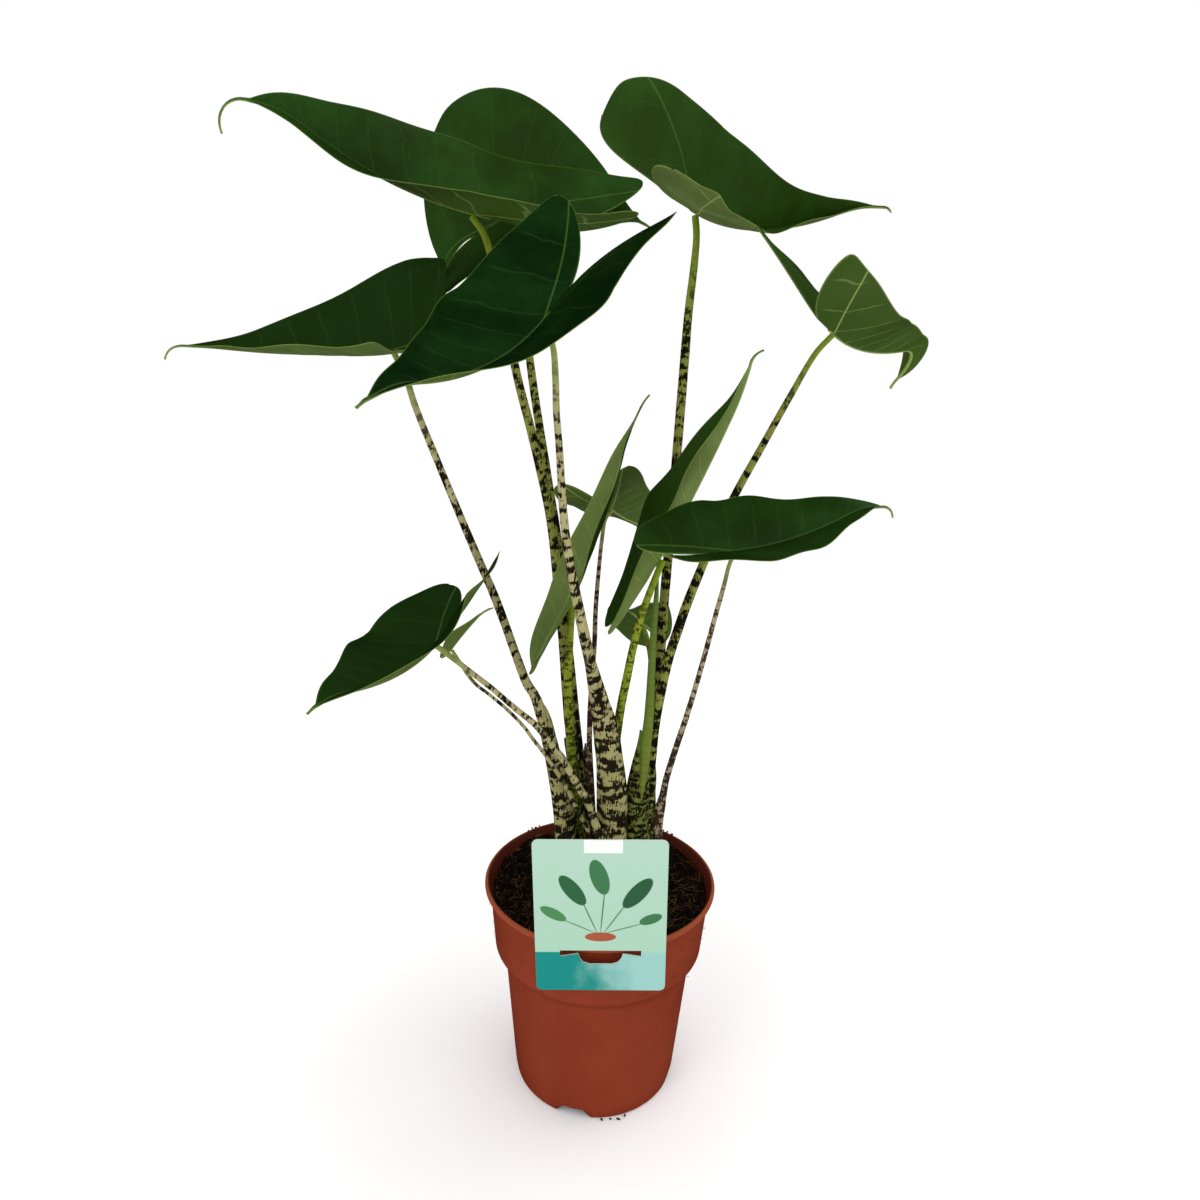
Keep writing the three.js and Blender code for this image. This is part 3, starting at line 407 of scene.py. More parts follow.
def leaf_skin():
    """Alocasia blade: waxy dark green skin above, matte olive skin with raised veins beneath."""
    material, tree = new_material("alocasia_leaf_skin")
    vein = add(tree, ATTRIBUTE, out="Vector", attribute_name="vein")
    number, lobe_rib, middle = add(tree, SPLIT, {0: vein}).node.outputs
    blade = add(tree, ATTRIBUTE, out="Vector", attribute_name="blade")
    margin, under, shade = add(tree, SPLIT, {0: blade}).node.outputs
    fresh = add(tree, ATTRIBUTE, out="Fac", attribute_name="fresh")
    place = add(tree, COORDINATES, out="Object")
    # Side veins run where the vein number is whole; a slow noise makes them wander
    wander = add(tree, NOISE, {"Vector": place, "Scale": per_metre(18.18), "Detail": 2.0})
    phase = add(tree, TIMES_PLUS, (wander, 0.3, number))
    side = add(tree, MATHS, (phase, 0.5), operation="PINGPONG")
    side = add(tree, EASED, (side, 0.0, 0.045, 1.0, 0.0))
    inside = add(tree, EASED, (margin, 1.0, 12.0))
    side = add(tree, TIMES, (side, inside))
    between = add(tree, TIMES, (phase, 6.0))
    between = add(tree, MATHS, (between, 0.5), operation="PINGPONG")
    between = add(tree, EASED, (between, 0.0, 0.2, 1.0, 0.0))
    middle = add(tree, EASED, (middle, 0.4, 1.2, 1.0, 0.0))
    lobe_rib = add(tree, MATHS, {0: lobe_rib}, operation="ABSOLUTE")
    lobe_rib = add(tree, EASED, (lobe_rib, 0.2, 0.9, 1.0, 0.0))
    ribs = add(tree, MATHS, (middle, lobe_rib), operation="MAXIMUM")
    edge = add(tree, EASED, (margin, 0.1, 0.9, 1.0, 0.0))
    cloud = add(tree, NOISE, {"Vector": place, "Scale": per_metre(41.67), "Detail": 4.0,
                              "Roughness": 0.6})
    patch = add(tree, EASED, (cloud, 0.35, 0.7))
    grain = add(tree, NOISE, {"Vector": place, "Scale": per_metre(1.43), "Detail": 2.0})
    dust = add(tree, NOISE, {"Vector": place, "Scale": per_metre(0.91), "Detail": 1.0})
    dust = add(tree, EASED, (dust, 0.74, 0.8))
    # Painted shade, partly the leaf's own darker tone: each face darkens by the leaf's last pair
    top = layered(tree, colour("#081f04"), (
        (patch, 1.0, "#16400a"), (shade, 0.9, "#022002"), (fresh, 1.0, "#4d7320"),
        (grain, 0.08, "#2c4f1c"), (side, 0.15, "#3c6426"), (ribs, 0.3, "#5b8636"),
        (edge, 0.28, "#6f8f38"), (dust, 0.3, "#7d8f78")))
    beneath = layered(tree, colour("#637636"), (
        (patch, 1.0, "#718344"), (between, 0.12, "#8a9a5c"), (shade, 1.0, "#33530a"),
        (side, 0.4, "#8c9d5c"), (ribs, 0.8, "#93a55a"), (edge, 0.5, "#8fa052")))
    skin = add(tree, MIX, {0: under, 6: top, 7: beneath}, 2, data_type="RGBA")
    gloss = add(tree, EASED, (cloud, 0.35, 0.7, 0.33, 0.46))
    gloss = add(tree, TIMES_PLUS, (under, 0.16, gloss))
    # Veins are sunk in the upper face and stand out on the lower one
    relief = add(tree, TIMES_PLUS, (side, 0.4, ribs))
    facing = add(tree, TIMES_PLUS, (under, 1.6, -0.6))
    relief = add(tree, TIMES, (relief, facing))
    relief = add(tree, TIMES_PLUS, (cloud, 0.6, relief))
    bump = add(tree, BUMP, {"Strength": 0.35, "Distance": 0.0005, "Height": relief})
    return surfaced(material, {"Base Color": skin, "Roughness": gloss, SHINE: 0.12,
                               "Normal": bump})


def stalk_skin(name, foot, top, patches, dark, strength, foot_bare, top_bare, size, fade):
    """Zebra petiole: smooth pale skin with ragged dark bars that thin out towards the blade."""
    material, tree = new_material(name)
    along = add(tree, ATTRIBUTE, out="Fac", attribute_name="along")
    share = add(tree, ATTRIBUTE, out="Fac", attribute_name="share")
    place = add(tree, COORDINATES, out="Object")
    # Bars are some 10 mm across and half of that along the stalk, with finer ragged streaks
    wide = per_metre(10.53) * size
    across = add(tree, VECTORS, (place, (wide, wide, 0)), operation="MULTIPLY")
    run = add(tree, TIMES, (along, per_metre(5.714) * size))
    run = add(tree, JOIN, {2: run})
    spot = add(tree, VECTORS, (across, run), operation="ADD")
    bars = add(tree, NOISE, {"Vector": spot, "Scale": 1.0, "Detail": 2.0, "Roughness": 0.5,
                             "Distortion": 0.4})
    fine = add(tree, VECTORS, (spot, (8.0, 8.0, 1.1)), operation="MULTIPLY")
    fine = add(tree, NOISE, {"Vector": fine, "Scale": 1.0, "Detail": 1.0, "Roughness": 0.5})
    level = add(tree, TIMES_PLUS, (fine, 0.42, bars))
    limit = add(tree, EASED, (share, 0.05, 0.8, foot_bare, top_bare))
    level = add(tree, MATHS, (level, limit), operation="SUBTRACT")
    bars = add(tree, EASED, (level, -0.045, 0.055))
    ending = add(tree, EASED, (share, fade, 1.0, 1.0, 0.0))
    bars = add(tree, TIMES, (bars, ending))
    tint = add(tree, NOISE, {"Vector": place, "Scale": per_metre(6.25), "Detail": 3.0})
    tint = add(tree, EASED, (tint, 0.35, 0.75))
    near_blade = add(tree, EASED, (share, fade, 1.0))
    skin = layered(tree, colour(foot), (
        (share, 1.0, top), (tint, 0.4, patches), (near_blade, 0.7, "#74901a"),
        (bars, strength, dark)))
    bump = add(tree, BUMP, {"Strength": 0.2, "Distance": 0.0004, "Height": fine})
    return surfaced(material, {"Base Color": skin, "Roughness": 0.42, SHINE: 0.1,
                               "Normal": bump})


def rolled_skin():
    """Rolled young blade: soft mid-green skin crossed by the faint lines of its side veins."""
    material, tree = new_material("rolled_leaf_skin")
    along = add(tree, ATTRIBUTE, out="Fac", attribute_name="along")
    share = add(tree, ATTRIBUTE, out="Fac", attribute_name="share")
    place = add(tree, COORDINATES, out="Object")
    wander = add(tree, NOISE, {"Vector": place, "Scale": per_metre(8.333), "Detail": 2.0})
    run = add(tree, TIMES_PLUS, (along, per_metre(5.263), wander))
    lines = add(tree, MATHS, (run, 0.5), operation="PINGPONG")
    lines = add(tree, EASED, (lines, 0.0, 0.16, 1.0, 0.0))
    skin = layered(tree, colour("#78861c"), (
        (share, 1.0, "#52682c"), (wander, 0.3, "#8a9d4c"), (lines, 0.3, "#4c6428")))
    bump = add(tree, BUMP, {"Strength": 0.4, "Distance": 0.0004, "Height": lines})
    return surfaced(material, {"Base Color": skin, "Roughness": 0.45, SHINE: 0.12,
                               "Normal": bump})


def pot_plastic():
    """Injection-moulded terracotta polypropylene: matte, faintly grained, a little uneven."""
    material, tree = new_material("terracotta_polypropylene")
    place = add(tree, COORDINATES, out="Object")
    cloud = add(tree, NOISE, {"Vector": place, "Scale": per_metre(62.5), "Detail": 4.0,
                              "Roughness": 0.6})
    cloud = add(tree, EASED, (cloud, 0.3, 0.7))
    grain = add(tree, NOISE, {"Vector": place, "Scale": per_metre(0.8333), "Detail": 2.0})
    high = add(tree, SPLIT, {0: place}, "Z")
    # Painted highlight: the top few millimetres of the rim, which face the light, are painted
    # lighter
    rim = add(tree, EASED, (high, (POT_HEIGHT - 5.5) * MM, (POT_HEIGHT - 1.5) * MM))
    # Painted shade: the inside of the wall and the pot's floor are painted dark brown
    inward = add(tree, ATTRIBUTE, out="Fac", attribute_name="inward")
    skin = layered(tree, colour("#822f15"), (
        (cloud, 1.0, "#8b361b"), (rim, 0.6, "#a0502f"), (inward, 0.8, "#3a130a")))
    dull = add(tree, RANGE, {0: cloud, 3: 0.46, 4: 0.54})
    bump = add(tree, BUMP, {"Strength": 0.12, "Distance": 0.0003, "Height": grain})
    return surfaced(material, {"Base Color": skin, "Roughness": dull, SHINE: 0.12,
                               "Normal": bump})


def soil_matter(name, dark, light):
    """Damp peat and coir: dull, nearly black, with browner specks."""
    material, tree = new_material(name)
    place = add(tree, COORDINATES, out="Object")
    speck = add(tree, NOISE, {"Vector": place, "Scale": per_metre(2.632), "Detail": 4.0,
                              "Roughness": 0.7})
    mask = add(tree, EASED, (speck, 0.4, 0.72))
    bump = add(tree, BUMP, {"Strength": 0.8, "Distance": 0.0012, "Height": speck})
    return surfaced(material, {"Base Color": layered(tree, colour(dark), ((mask, 1.0, light),)),
                               "Roughness": 0.9, SHINE: 0.12, "Normal": bump})


def card_print():
    """Printed plastic sheet: mint above, a teal band below that pales to the right, leaf shapes."""
    material, tree = new_material("printed_plastic_card")
    # The print's place is in millimetres on the flat card; its depth is -1 on the printed face
    place = add(tree, ATTRIBUTE, out="Vector", attribute_name="print")
    x, y, depth = add(tree, SPLIT, {0: place}).node.outputs
    cloud = add(tree, NOISE, {"Vector": place, "Scale": 1 / 22.22, "Detail": 3.0})
    shift = add(tree, TIMES_PLUS, (cloud, 70.0, x))
    pale = add(tree, EASED, (shift, 14.0, 62.0))
    above = add(tree, RANGE, (y, 0.0, 84.0))
    mint = layered(tree, colour("#a9cfb8"), ((above, 1.0, "#b0d1be"),))
    teal = layered(tree, colour("#008c84"), ((pale, 1.0, "#97cac2"),))
    band = add(tree, RANGE, (y, BAND_TOP - 0.6, BAND_TOP, 1.0, 0.0))
    face = add(tree, MIX, {0: band, 6: mint, 7: teal}, 2, data_type="RGBA")
    for foot, tip, width, tone in PRINT_SHAPES:
        run, rise = tip[0] - foot[0], tip[1] - foot[1]
        spot = add(tree, "ShaderNodeMapping", {
            "Vector": place, "Location": (foot[0] + run / 2, foot[1] + rise / 2, 0),
            "Rotation": (0, 0, math.atan2(rise, run)),
            "Scale": (math.hypot(run, rise) / 2, width, 1000)}, vector_type="TEXTURE")
        reach = add(tree, VECTORS, {0: spot}, "Value", operation="LENGTH")
        mask = add(tree, RANGE, (reach, 0.97, 1.03, 1.0, 0.0))
        face = layered(tree, face, ((mask, 1.0, tone),))
    middle, half, foot = BARE_PATCH
    aside = add(tree, MATHS, (x, middle), operation="SUBTRACT")
    aside = add(tree, MATHS, {0: aside}, operation="ABSOLUTE")
    narrow = add(tree, MATHS, (aside, half), operation="LESS_THAN")
    patch = add(tree, MATHS, (y, foot), operation="GREATER_THAN")
    patch = add(tree, TIMES, (patch, narrow))
    face = layered(tree, face, ((patch, 1.0, "#eef2ee"),))
    back = add(tree, MATHS, (depth, -0.3), operation="GREATER_THAN")
    skin = layered(tree, face, ((back, 1.0, "#dfe6e0"),))
    return surfaced(material, {"Base Color": skin, "Roughness": 0.38, SHINE: 0.3})


def floor_paint():
    """Flat white studio paint: no gloss at all."""
    material, _ = new_material("pale_floor")
    return surfaced(material, {"Base Color": colour("#ffffff"), "Roughness": 1.0, SHINE: 0.0})


# Blades

def bezier(a, b, c, d, t):
    a, b, c, d = (np.array(p, float) for p in (a, b, c, d))
    t = np.asarray(t, float)[..., None]
    s = 1 - t
    return s ** 3 * a + 3 * s * s * t * b + 3 * s * t * t * c + t ** 3 * d


def smooth_step(t):
    t = np.clip(t, 0, 1)
    return t * t * (3 - 2 * t)


def flat_half(leaf):
    """Flat points over half a blade, in rows from the back lobe's tip to the drip tip."""
    length, width, lobe = leaf["length"], leaf["width"], leaf["lobe"]
    spread = math.radians(leaf["spread"])
    tip = np.array([-lobe * math.cos(spread), lobe * math.sin(spread)])
    cleft = np.array([-JOINED * lobe, 0])
    out = np.array([math.sin(spread), math.cos(spread)]) * leaf["round"] * width
    shoulder = (leaf["widest"] + 0.1 * length, width)

    def lobe_margin(t):
        return bezier(tip, tip + out, (leaf["widest"] - 0.28 * lobe, width), shoulder, t)

    def front_margin(t):
        return bezier(shoulder, (0.36 * length, width), (0.74 * length, leaf["full"] * width),
                      (length, 0), t)

    t = np.linspace(0, 1, LOBE_ROWS + 1)
    inner = bezier(tip, tip - 0.7 * out, cleft + (-0.3 * lobe, 0.05 * lobe), cleft, t)
    outer = lobe_margin(LOBE_MARGIN * t)
    t = np.linspace(0, 1, BLADE_ROWS - LOBE_ROWS + 1)[1:]
    inner_front = np.stack([cleft[0] + (length - cleft[0]) * t, 0 * t], 1)
    outer_front = np.where((t < BEFORE_SHOULDER)[:, None],
                           lobe_margin(LOBE_MARGIN + (1 - LOBE_MARGIN) * t / BEFORE_SHOULDER),
                           front_margin((t - BEFORE_SHOULDER) / (1 - BEFORE_SHOULDER)))
    outer_front[:, 1] = np.maximum(outer_front[:, 1], DRIP_WIDTH)
    t = np.linspace(0, 1, DRIP_ROWS + 1)[1:]
    inner_drip = np.stack([length + leaf["drip"] * t, 0 * t], 1)
    outer_drip = np.stack([inner_drip[:, 0], DRIP_WIDTH * (1 - t)], 1)
    inner = np.concatenate([inner, inner_front, inner_drip])[:, None]
    outer = np.concatenate([outer, outer_front, outer_drip])[:, None]
    return inner + (outer - inner) * COLUMN_PLACES[None, :, None]


def axes_of(leaf):
    turn = (Matrix.Rotation(math.radians(leaf["heading"]), 3, "Z")
            @ Matrix.Rotation(math.radians(-leaf["rise"]), 3, "Y")
            @ Matrix.Rotation(math.radians(leaf["roll"]), 3, "X"))
    return np.array(turn).T


def spine(length, angle_at):
    """Places and angles along a line that turns in the upright plane."""
    steps = 240
    s = np.linspace(0, length, steps + 1)
    angle = angle_at((s[1:] + s[:-1]) / 2)
    x = np.concatenate([[0], np.cumsum(np.cos(angle))]) * length / steps
    z = np.concatenate([[0], np.cumsum(np.sin(angle))]) * length / steps
    return s, x, z, angle_at(s)


def bend_points(leaf, x, y, half, ripple):
    """Bends flat points into their place in the row frame, in millimetres."""
    length, width, lobe, drip = leaf["length"], leaf["width"], leaf["lobe"], leaf["drip"]
    s, px, pz, pa = spine(length + drip, lambda s: -np.radians(
        leaf["bend"] * np.minimum(1, s / length)
        + leaf["hook"] * smooth_step((s / length - HOOK_FROM) / (1 - HOOK_FROM))
        - leaf["drip_hook"] * np.maximum(0, s - length) / drip))
    bs, bx, bz, ba = spine(lobe, lambda s: -np.radians(leaf["lobe_bend"][half])
                           * np.maximum(0, s / lobe - JOINED) / (1 - JOINED))
    mx = np.where(x >= 0, np.interp(x, s, px), -np.interp(-x, bs, bx))
    mz = np.where(x >= 0, np.interp(x, s, pz), np.interp(-x, bs, bz))
    turn = np.where(x >= 0, np.interp(x, s, pa), -np.interp(-x, bs, ba))
    start = np.radians(leaf["fold"][half]
                       + leaf["unfold"][half] * smooth_step(x / length / UNFOLD_REACH))
    bow = math.radians(leaf["curl"][half] or 0.01) / width
    side = (np.sin(start + bow * y) - np.sin(start)) / bow * (1 if half == 0 else -1)
    height = (np.cos(start) - np.cos(start + bow * y)) / bow + ripple
    t = np.maximum(0, x / length)
    twist = math.radians(leaf["twist"]) * t
    across = side * np.cos(twist) - height * np.sin(twist) + leaf["sweep"] * t * t
    lift = side * np.sin(twist) + height * np.cos(twist)
    axes = axes_of(leaf)
    return (np.array(leaf["joint"], float) + (mx - np.sin(turn) * lift)[..., None] * axes[0]
            + across[..., None] * axes[1] + (mz + np.cos(turn) * lift)[..., None] * axes[2])


def vein_values(leaf, x, y):
    """Vein number, distance from the lobe's rib and distance from the midrib at flat points."""
    length, lobe = leaf["length"], leaf["lobe"]
    spread = math.radians(leaf["spread"] + RIB_TURN.get(leaf["name"], -4))
    back = np.array([-math.cos(spread), math.sin(spread)])
    outward = np.array([math.sin(spread), math.cos(spread)])
    along = x * back[0] + y * back[1]
    off = x * outward[0] + y * outward[1]
    mx = along * back[0] + np.abs(off) * outward[0]
    my = along * back[1] + np.abs(off) * outward[1]
    front = (x - VEIN_LEAN * y) / (1 + VEIN_TURN * y / length) / (VEIN_GAP * length)
    rear = (VEIN_LEAN * my - mx) / (math.cos(spread) + VEIN_LEAN * math.sin(spread)
                                    + VEIN_TURN * my / lobe)
    number = np.where(x >= VEIN_LEAN * y, front, -np.maximum(0, rear) / (LOBE_VEIN_GAP * lobe))
    rib = np.where(along > 0, off, NO_RIB)
    # The midrib runs on a little way behind the joint
    middle = np.where(x > -0.3 * JOINED * lobe, y, y + 3)
    return number, rib, middle


def blade_sheet(leaf):
    """The blade's middle surface as points and quads, and what each point's skin needs."""
    flat = flat_half(leaf)
    rows, columns = flat.shape[:2]
    x, y = flat[..., 0], flat[..., 1]
    v = COLUMN_PLACES[None, :] + 0 * x
    k = np.arange(rows)[:, None] + 0 * x
    vein = np.stack(vein_values(leaf, x, y), -1)
    # Beside the lobe both ends of a row lie on a margin
    margin = np.where(k <= LOBE_ROWS, np.minimum(1 - v, v), 1 - v)
    margin = margin * np.linalg.norm(flat[:, -1] - flat[:, 0], axis=1)[:, None]
    edge = v ** 2 * np.minimum(1, y / (0.3 * leaf["width"]))
    quilt = QUILT * np.sin(math.pi * vein[..., 0]) ** 2 * np.sin(math.pi * v) ** 0.7
    points = []
    for half in (0, 1):
        phase = 2 * math.pi * leaf["waves"] * k / BLADE_ROWS + 1.7 * half
        ripple = leaf["wave"] * np.sin(phase) * edge + quilt * min(1, leaf["length"] / 100)
        points.append(bend_points(leaf, x, y, half, ripple).reshape(-1, 3))
    # The two halves share the points along the midrib
    left = np.arange(rows * columns).reshape(rows, columns)
    right = left + rows * columns
    right[LOBE_ROWS:, 0] = left[LOBE_ROWS:, 0]
    quads = []
    for grid, order in ((left, (0, 3, 2, 1)), (right, (0, 1, 2, 3))):
        corners = (grid[:-1, :-1], grid[:-1, 1:], grid[1:, 1:], grid[1:, :-1])
        quads.append(np.stack([corners[i] for i in order], -1).reshape(-1, 4))
    used, quads = np.unique(np.concatenate(quads), return_inverse=True)
    thick = MARGIN_THICK + MIDRIB_EXTRA * (1 - v)
    return (np.concatenate(points)[used], quads.reshape(-1, 4),
            np.tile(vein.reshape(-1, 3), (2, 1))[used], np.tile(margin.ravel(), 2)[used],
            np.tile(thick.ravel(), 2)[used])


def blade(name, leaf, skin):
    """A leaf's blade: the sheet with an upper and a lower face and a wall round its margin."""
    points, quads, veins, margins, thick = blade_sheet(leaf)
    corners = points[quads]
    facing = np.cross(corners[:, 2] - corners[:, 0], corners[:, 3] - corners[:, 1])
    normal = np.zeros_like(points)
    for i in range(4):
        np.add.at(normal, quads[:, i], facing)
    normal /= np.maximum(1e-9, np.linalg.norm(normal, axis=1))[:, None]
    # The midrib is a shallow groove above and a round ridge below
    ridge = np.exp(-(veins[:, 2] / RIB_WIDTH) ** 2) * min(1, leaf["length"] / 120)
    above = normal * (thick / 2 - RIB_GROOVE * ridge)[:, None]
    below = normal * (thick / 2 + RIB_RIDGE * ridge)[:, None]
    total, quads = len(points), quads.tolist()
    edges = dict.fromkeys((quad[i], quad[i - 3]) for quad in quads for i in range(4))
    faces = quads + [[i + total for i in (a, d, c, b)] for a, b, c, d in quads]
    faces += [[j, i, i + total, j + total] for i, j in edges if (j, i) not in edges]
    faces = [list(dict.fromkeys(face)) for face in faces]
    made = mesh_object(name, np.concatenate([points + above, points - below]),
                       [face for face in faces if len(face) > 2], skin)
    # Each face's darkness: partly the leaf's own tone, partly painted shade
    face = np.stack([np.tile(margins, 2), np.repeat([0.0, 1.0], total),
                     np.repeat(leaf["shade"], total)], 1)
    mark(made, vein=np.tile(veins, (2, 1)), blade=face, fresh=np.full(2 * total, leaf["fresh"]))
    return made


# Stalks

def through(points, count):
    """Even steps along the smooth line through the points, as in the part's source."""
    p = np.array(points, float)
    ends = np.concatenate([[2 * p[0] - p[1]], p, [2 * p[-1] - p[-2]]])
    out = []
    for i in range(count + 1):
        place = i / count * (len(p) - 1)
        k = min(int(place), len(p) - 2)
        f = place - k
        q = ends[k:k + 4]
        knots = [0.0]
        for a, b in zip(q, q[1:]):
            knots.append(max(1e-4, float(np.linalg.norm(b - a)) ** 0.5))
        d0, d1, d2 = knots[1:]
        t1 = ((q[1] - q[0]) / d0 - (q[2] - q[0]) / (d0 + d1) + (q[2] - q[1]) / d1) * d1
        t2 = ((q[2] - q[1]) / d1 - (q[3] - q[1]) / (d1 + d2) + (q[3] - q[2]) / d2) * d1
        out.append(q[1] + t1 * f + (-3 * q[1] + 3 * q[2] - 2 * t1 - t2) * f * f
                   + (2 * q[1] - 2 * q[2] + t1 + t2) * f ** 3)
    return np.array(out)


def stalk_places(name):
    """The stalk's places with its end, which lies just under the blade's joint."""
    places = STALKS[name]
    radius = places[-1][3]
    if name in STALK_TOPS:
        return [*places, (*STALK_TOPS[name], radius)]
    leaf = LEAVES[name]
    face = axes_of(leaf)[2]
    joint = np.array(leaf["joint"], float)
    along = joint - np.array(places[-1][:3], float)
    along /= np.linalg.norm(along)
    tilt = math.sqrt(max(0, 1 - float(along @ face) ** 2))
    return [*places, (*(joint - face * (radius * tilt + 0.45)), radius)]


def new_tree(name, numbers=(), counts=(), shape=None):
    """A geometry nodes tree, and its inputs, named and with their usual values."""
    tree = bpy.data.node_groups.new(name, "GeometryNodeTree")
    face = tree.interface
    face.new_socket("Geometry", in_out="INPUT", socket_type="NodeSocketGeometry")
    for kind, values in (("NodeSocketFloat", numbers), ("NodeSocketInt", counts)):
        for label, value in dict(values).items():
            face.new_socket(label, in_out="INPUT", socket_type=kind).default_value = value
    face.new_socket("Matter", in_out="INPUT", socket_type="NodeSocketMaterial")
    if shape:
        face.new_socket(shape, in_out="INPUT", socket_type="NodeSocketObject")
    face.new_socket("Geometry", in_out="OUTPUT", socket_type="NodeSocketGeometry")
    return tree, add(tree, "NodeGroupInput").node.outputs


def close_tree(tree, geometry, matter):
    """Ends the tree: smooth, real geometry with its material. Returns the tree."""
    soft = add(tree, "GeometryNodeSetShadeSmooth", {"Geometry": geometry})
    real = add(tree, "GeometryNodeRealizeInstances", {"Geometry": soft})
    done = add(tree, "GeometryNodeSetMaterial", {"Geometry": real, "Material": matter})
    add(tree, "NodeGroupOutput", {"Geometry": done})
    return tree


def stem_tree():
    """Geometry nodes that skin a curve as a round stem, with its length and share kept."""
    tree, given = new_tree("round_stem", {"Step": 0.0015, "Lumps": 0.0003, "Lump Scale": 60.0},
                           {"Sides": 20})
    even = add(tree, "GeometryNodeResampleCurve", {
        "Curve": given["Geometry"], "Length": given["Step"]}, mode="LENGTH")
    spot = add(tree, "GeometryNodeSplineParameter").node.outputs
    for label, value in (("along", spot["Length"]), ("share", spot["Factor"])):
        even = add(tree, "GeometryNodeStoreNamedAttribute", {
            "Geometry": even, "Name": label, "Value": value}, data_type="FLOAT", domain="POINT")
    ring = add(tree, "GeometryNodeCurvePrimitiveCircle", {
        "Resolution": given["Sides"], "Radius": 1.0}, mode="RADIUS")
    tube = add(tree, "GeometryNodeCurveToMesh", {
        "Curve": even, "Profile Curve": ring, "Fill Caps": True,
        "Scale": add(tree, "GeometryNodeInputRadius")})
    lump = add(tree, NOISE, {"Scale": given["Lump Scale"], "Detail": 2.0})
    lump = add(tree, MATHS, (lump, 0.5), operation="SUBTRACT")
    lump = add(tree, TIMES, (lump, given["Lumps"]))
    push = add(tree, VECTORS, {0: add(tree, "GeometryNodeInputNormal"), "Scale": lump},
               operation="SCALE")
    moved = add(tree, "GeometryNodeSetPosition", {"Geometry": tube, "Offset": push})
    return close_tree(tree, moved, given["Matter"])


def with_tree(source, tree, values):
    """Gives the object a geometry nodes modifier with these values for the tree's inputs."""
    made = source.modifiers.new(tree.name, "NODES")
    made.node_group = tree
    for item in tree.interface.items_tree:
        if item.in_out == "INPUT" and item.name in values:
            made[item.identifier] = values[item.name]
    return source


def line_of(places):
    """Even steps along the line through the places, and the radius at each step."""
    line = through([place[:3] for place in places], LINE_STEPS)
    share = np.linspace(0, 1, len(line))
    return line, np.interp(share, np.linspace(0, 1, len(places)), [p[3] for p in places])


def stem(name, places, tree, skin, sides=20, lumps=0.0003):
    """A round stem that the tree lays along the places."""
    line, radius = line_of(places)
    data = bpy.data.curves.new(name + "_line", "CURVE")
    data.dimensions = "3D"
    spline = data.splines.new("POLY")
    spline.points.add(len(line) - 1)
    for point, place, wide in zip(spline.points, line * MM, radius * MM):
        point.co = (*place, 1)
        point.radius = wide
    source = new_object(name + "_line", data)
    with_tree(source, tree, {"Sides": sides, "Lumps": lumps, "Matter": skin})
    return evaluated(source, name)


def wrap(name, places, top, facing, reach, skin):
    """A sheath wing: a thin leaf-like flap that clasps the stalk and ends in a point."""
    line, radius = line_of(places)
    length = np.concatenate([[0], np.cumsum(np.linalg.norm(np.diff(line, axis=0), axis=1))])
    points, run = [], []
    for off in WING_FACES:
        for t in np.linspace(0, 1, WING_ROWS + 1):
            height = WING_FOOT + (top - WING_FOOT) * t
            x, y, _, around, passed = (np.interp(height, line[:, 2], values)
                                       for values in (*line.T, radius, length))
            half = math.radians(reach) * (1 - t ** 2.2) ** 0.8 + 0.03
            for side in np.linspace(-1, 1, WING_COLUMNS + 1):
                angle = math.radians(facing) + half * side
                out = around + off + 0.9 * t * (1 - t) + 0.5 * side ** 6
                points.append((x + out * math.cos(angle), y + out * math.sin(angle), height))
                run.append(passed)
    across = WING_COLUMNS + 1
    total = (WING_ROWS + 1) * across
    faces = []
    for i in range(WING_ROWS):
        for a in range(i * across, i * across + WING_COLUMNS):
            inner = [a + across, a + across + 1, a + 1, a]
            faces += [inner, [corner + total for corner in (a, a + 1, a + across + 1, a + across)]]
    rim = [*range(WING_COLUMNS), *range(WING_COLUMNS, total - across, across),
           *range(total - 1, total - across, -1), *range(total - across, 0, -across)]
    for a, b in zip(rim, rim[1:] + rim[:1]):
        faces.append([a, b, b + total, a + total])
    made = mesh_object(name, points, faces, skin)
    run = np.array(run) * MM
    mark(made, along=run, share=run / (length[-1] * MM))
    return made


# Pot, soil and card

def rounded(profile, reach=0.8):
    """The profile with each corner turned into a small curve."""
    p = np.array(profile, float)
    out = [p[0]]
    for before, here, after in zip(p, p[1:], p[2:]):
        back, on = before - here, after - here
        cut = min(reach, 0.45 * np.linalg.norm(back), 0.45 * np.linalg.norm(on))
        start = here + back / np.linalg.norm(back) * cut
        end = here + on / np.linalg.norm(on) * cut
        for t in (0, 0.25, 0.5, 0.75, 1):
            out.append((1 - t) ** 2 * start + 2 * t * (1 - t) * here + t * t * end)
    return [*out, p[-1]]


def ring(radius, height, sides):
    turn = np.arange(sides) * 2 * math.pi / sides
    return np.stack([radius * np.cos(turn), radius * np.sin(turn), np.full(sides, height)], 1)


def ringed(name, rings, ends, material, smooth, downwards=False):
    """A closed body through rings of points, between two heights on the upright axis."""
    sides, last = len(rings[0]), 1 + (len(rings) - 1) * len(rings[0])
    faces = []
    for i in range(sides):
        j = (i + 1) % sides
        faces.append([0, 1 + j, 1 + i])
        for start in range(1, last, sides):
            faces.append([start + i, start + j, start + j + sides, start + i + sides])
        faces.append([last + i, last + j, last + sides])
    if downwards:
        faces = [[face[0], *face[:0:-1]] for face in faces]
    points = [(0, 0, ends[0]), *np.concatenate(rings), (0, 0, ends[1])]
    return mesh_object(name, points, faces, material, smooth)


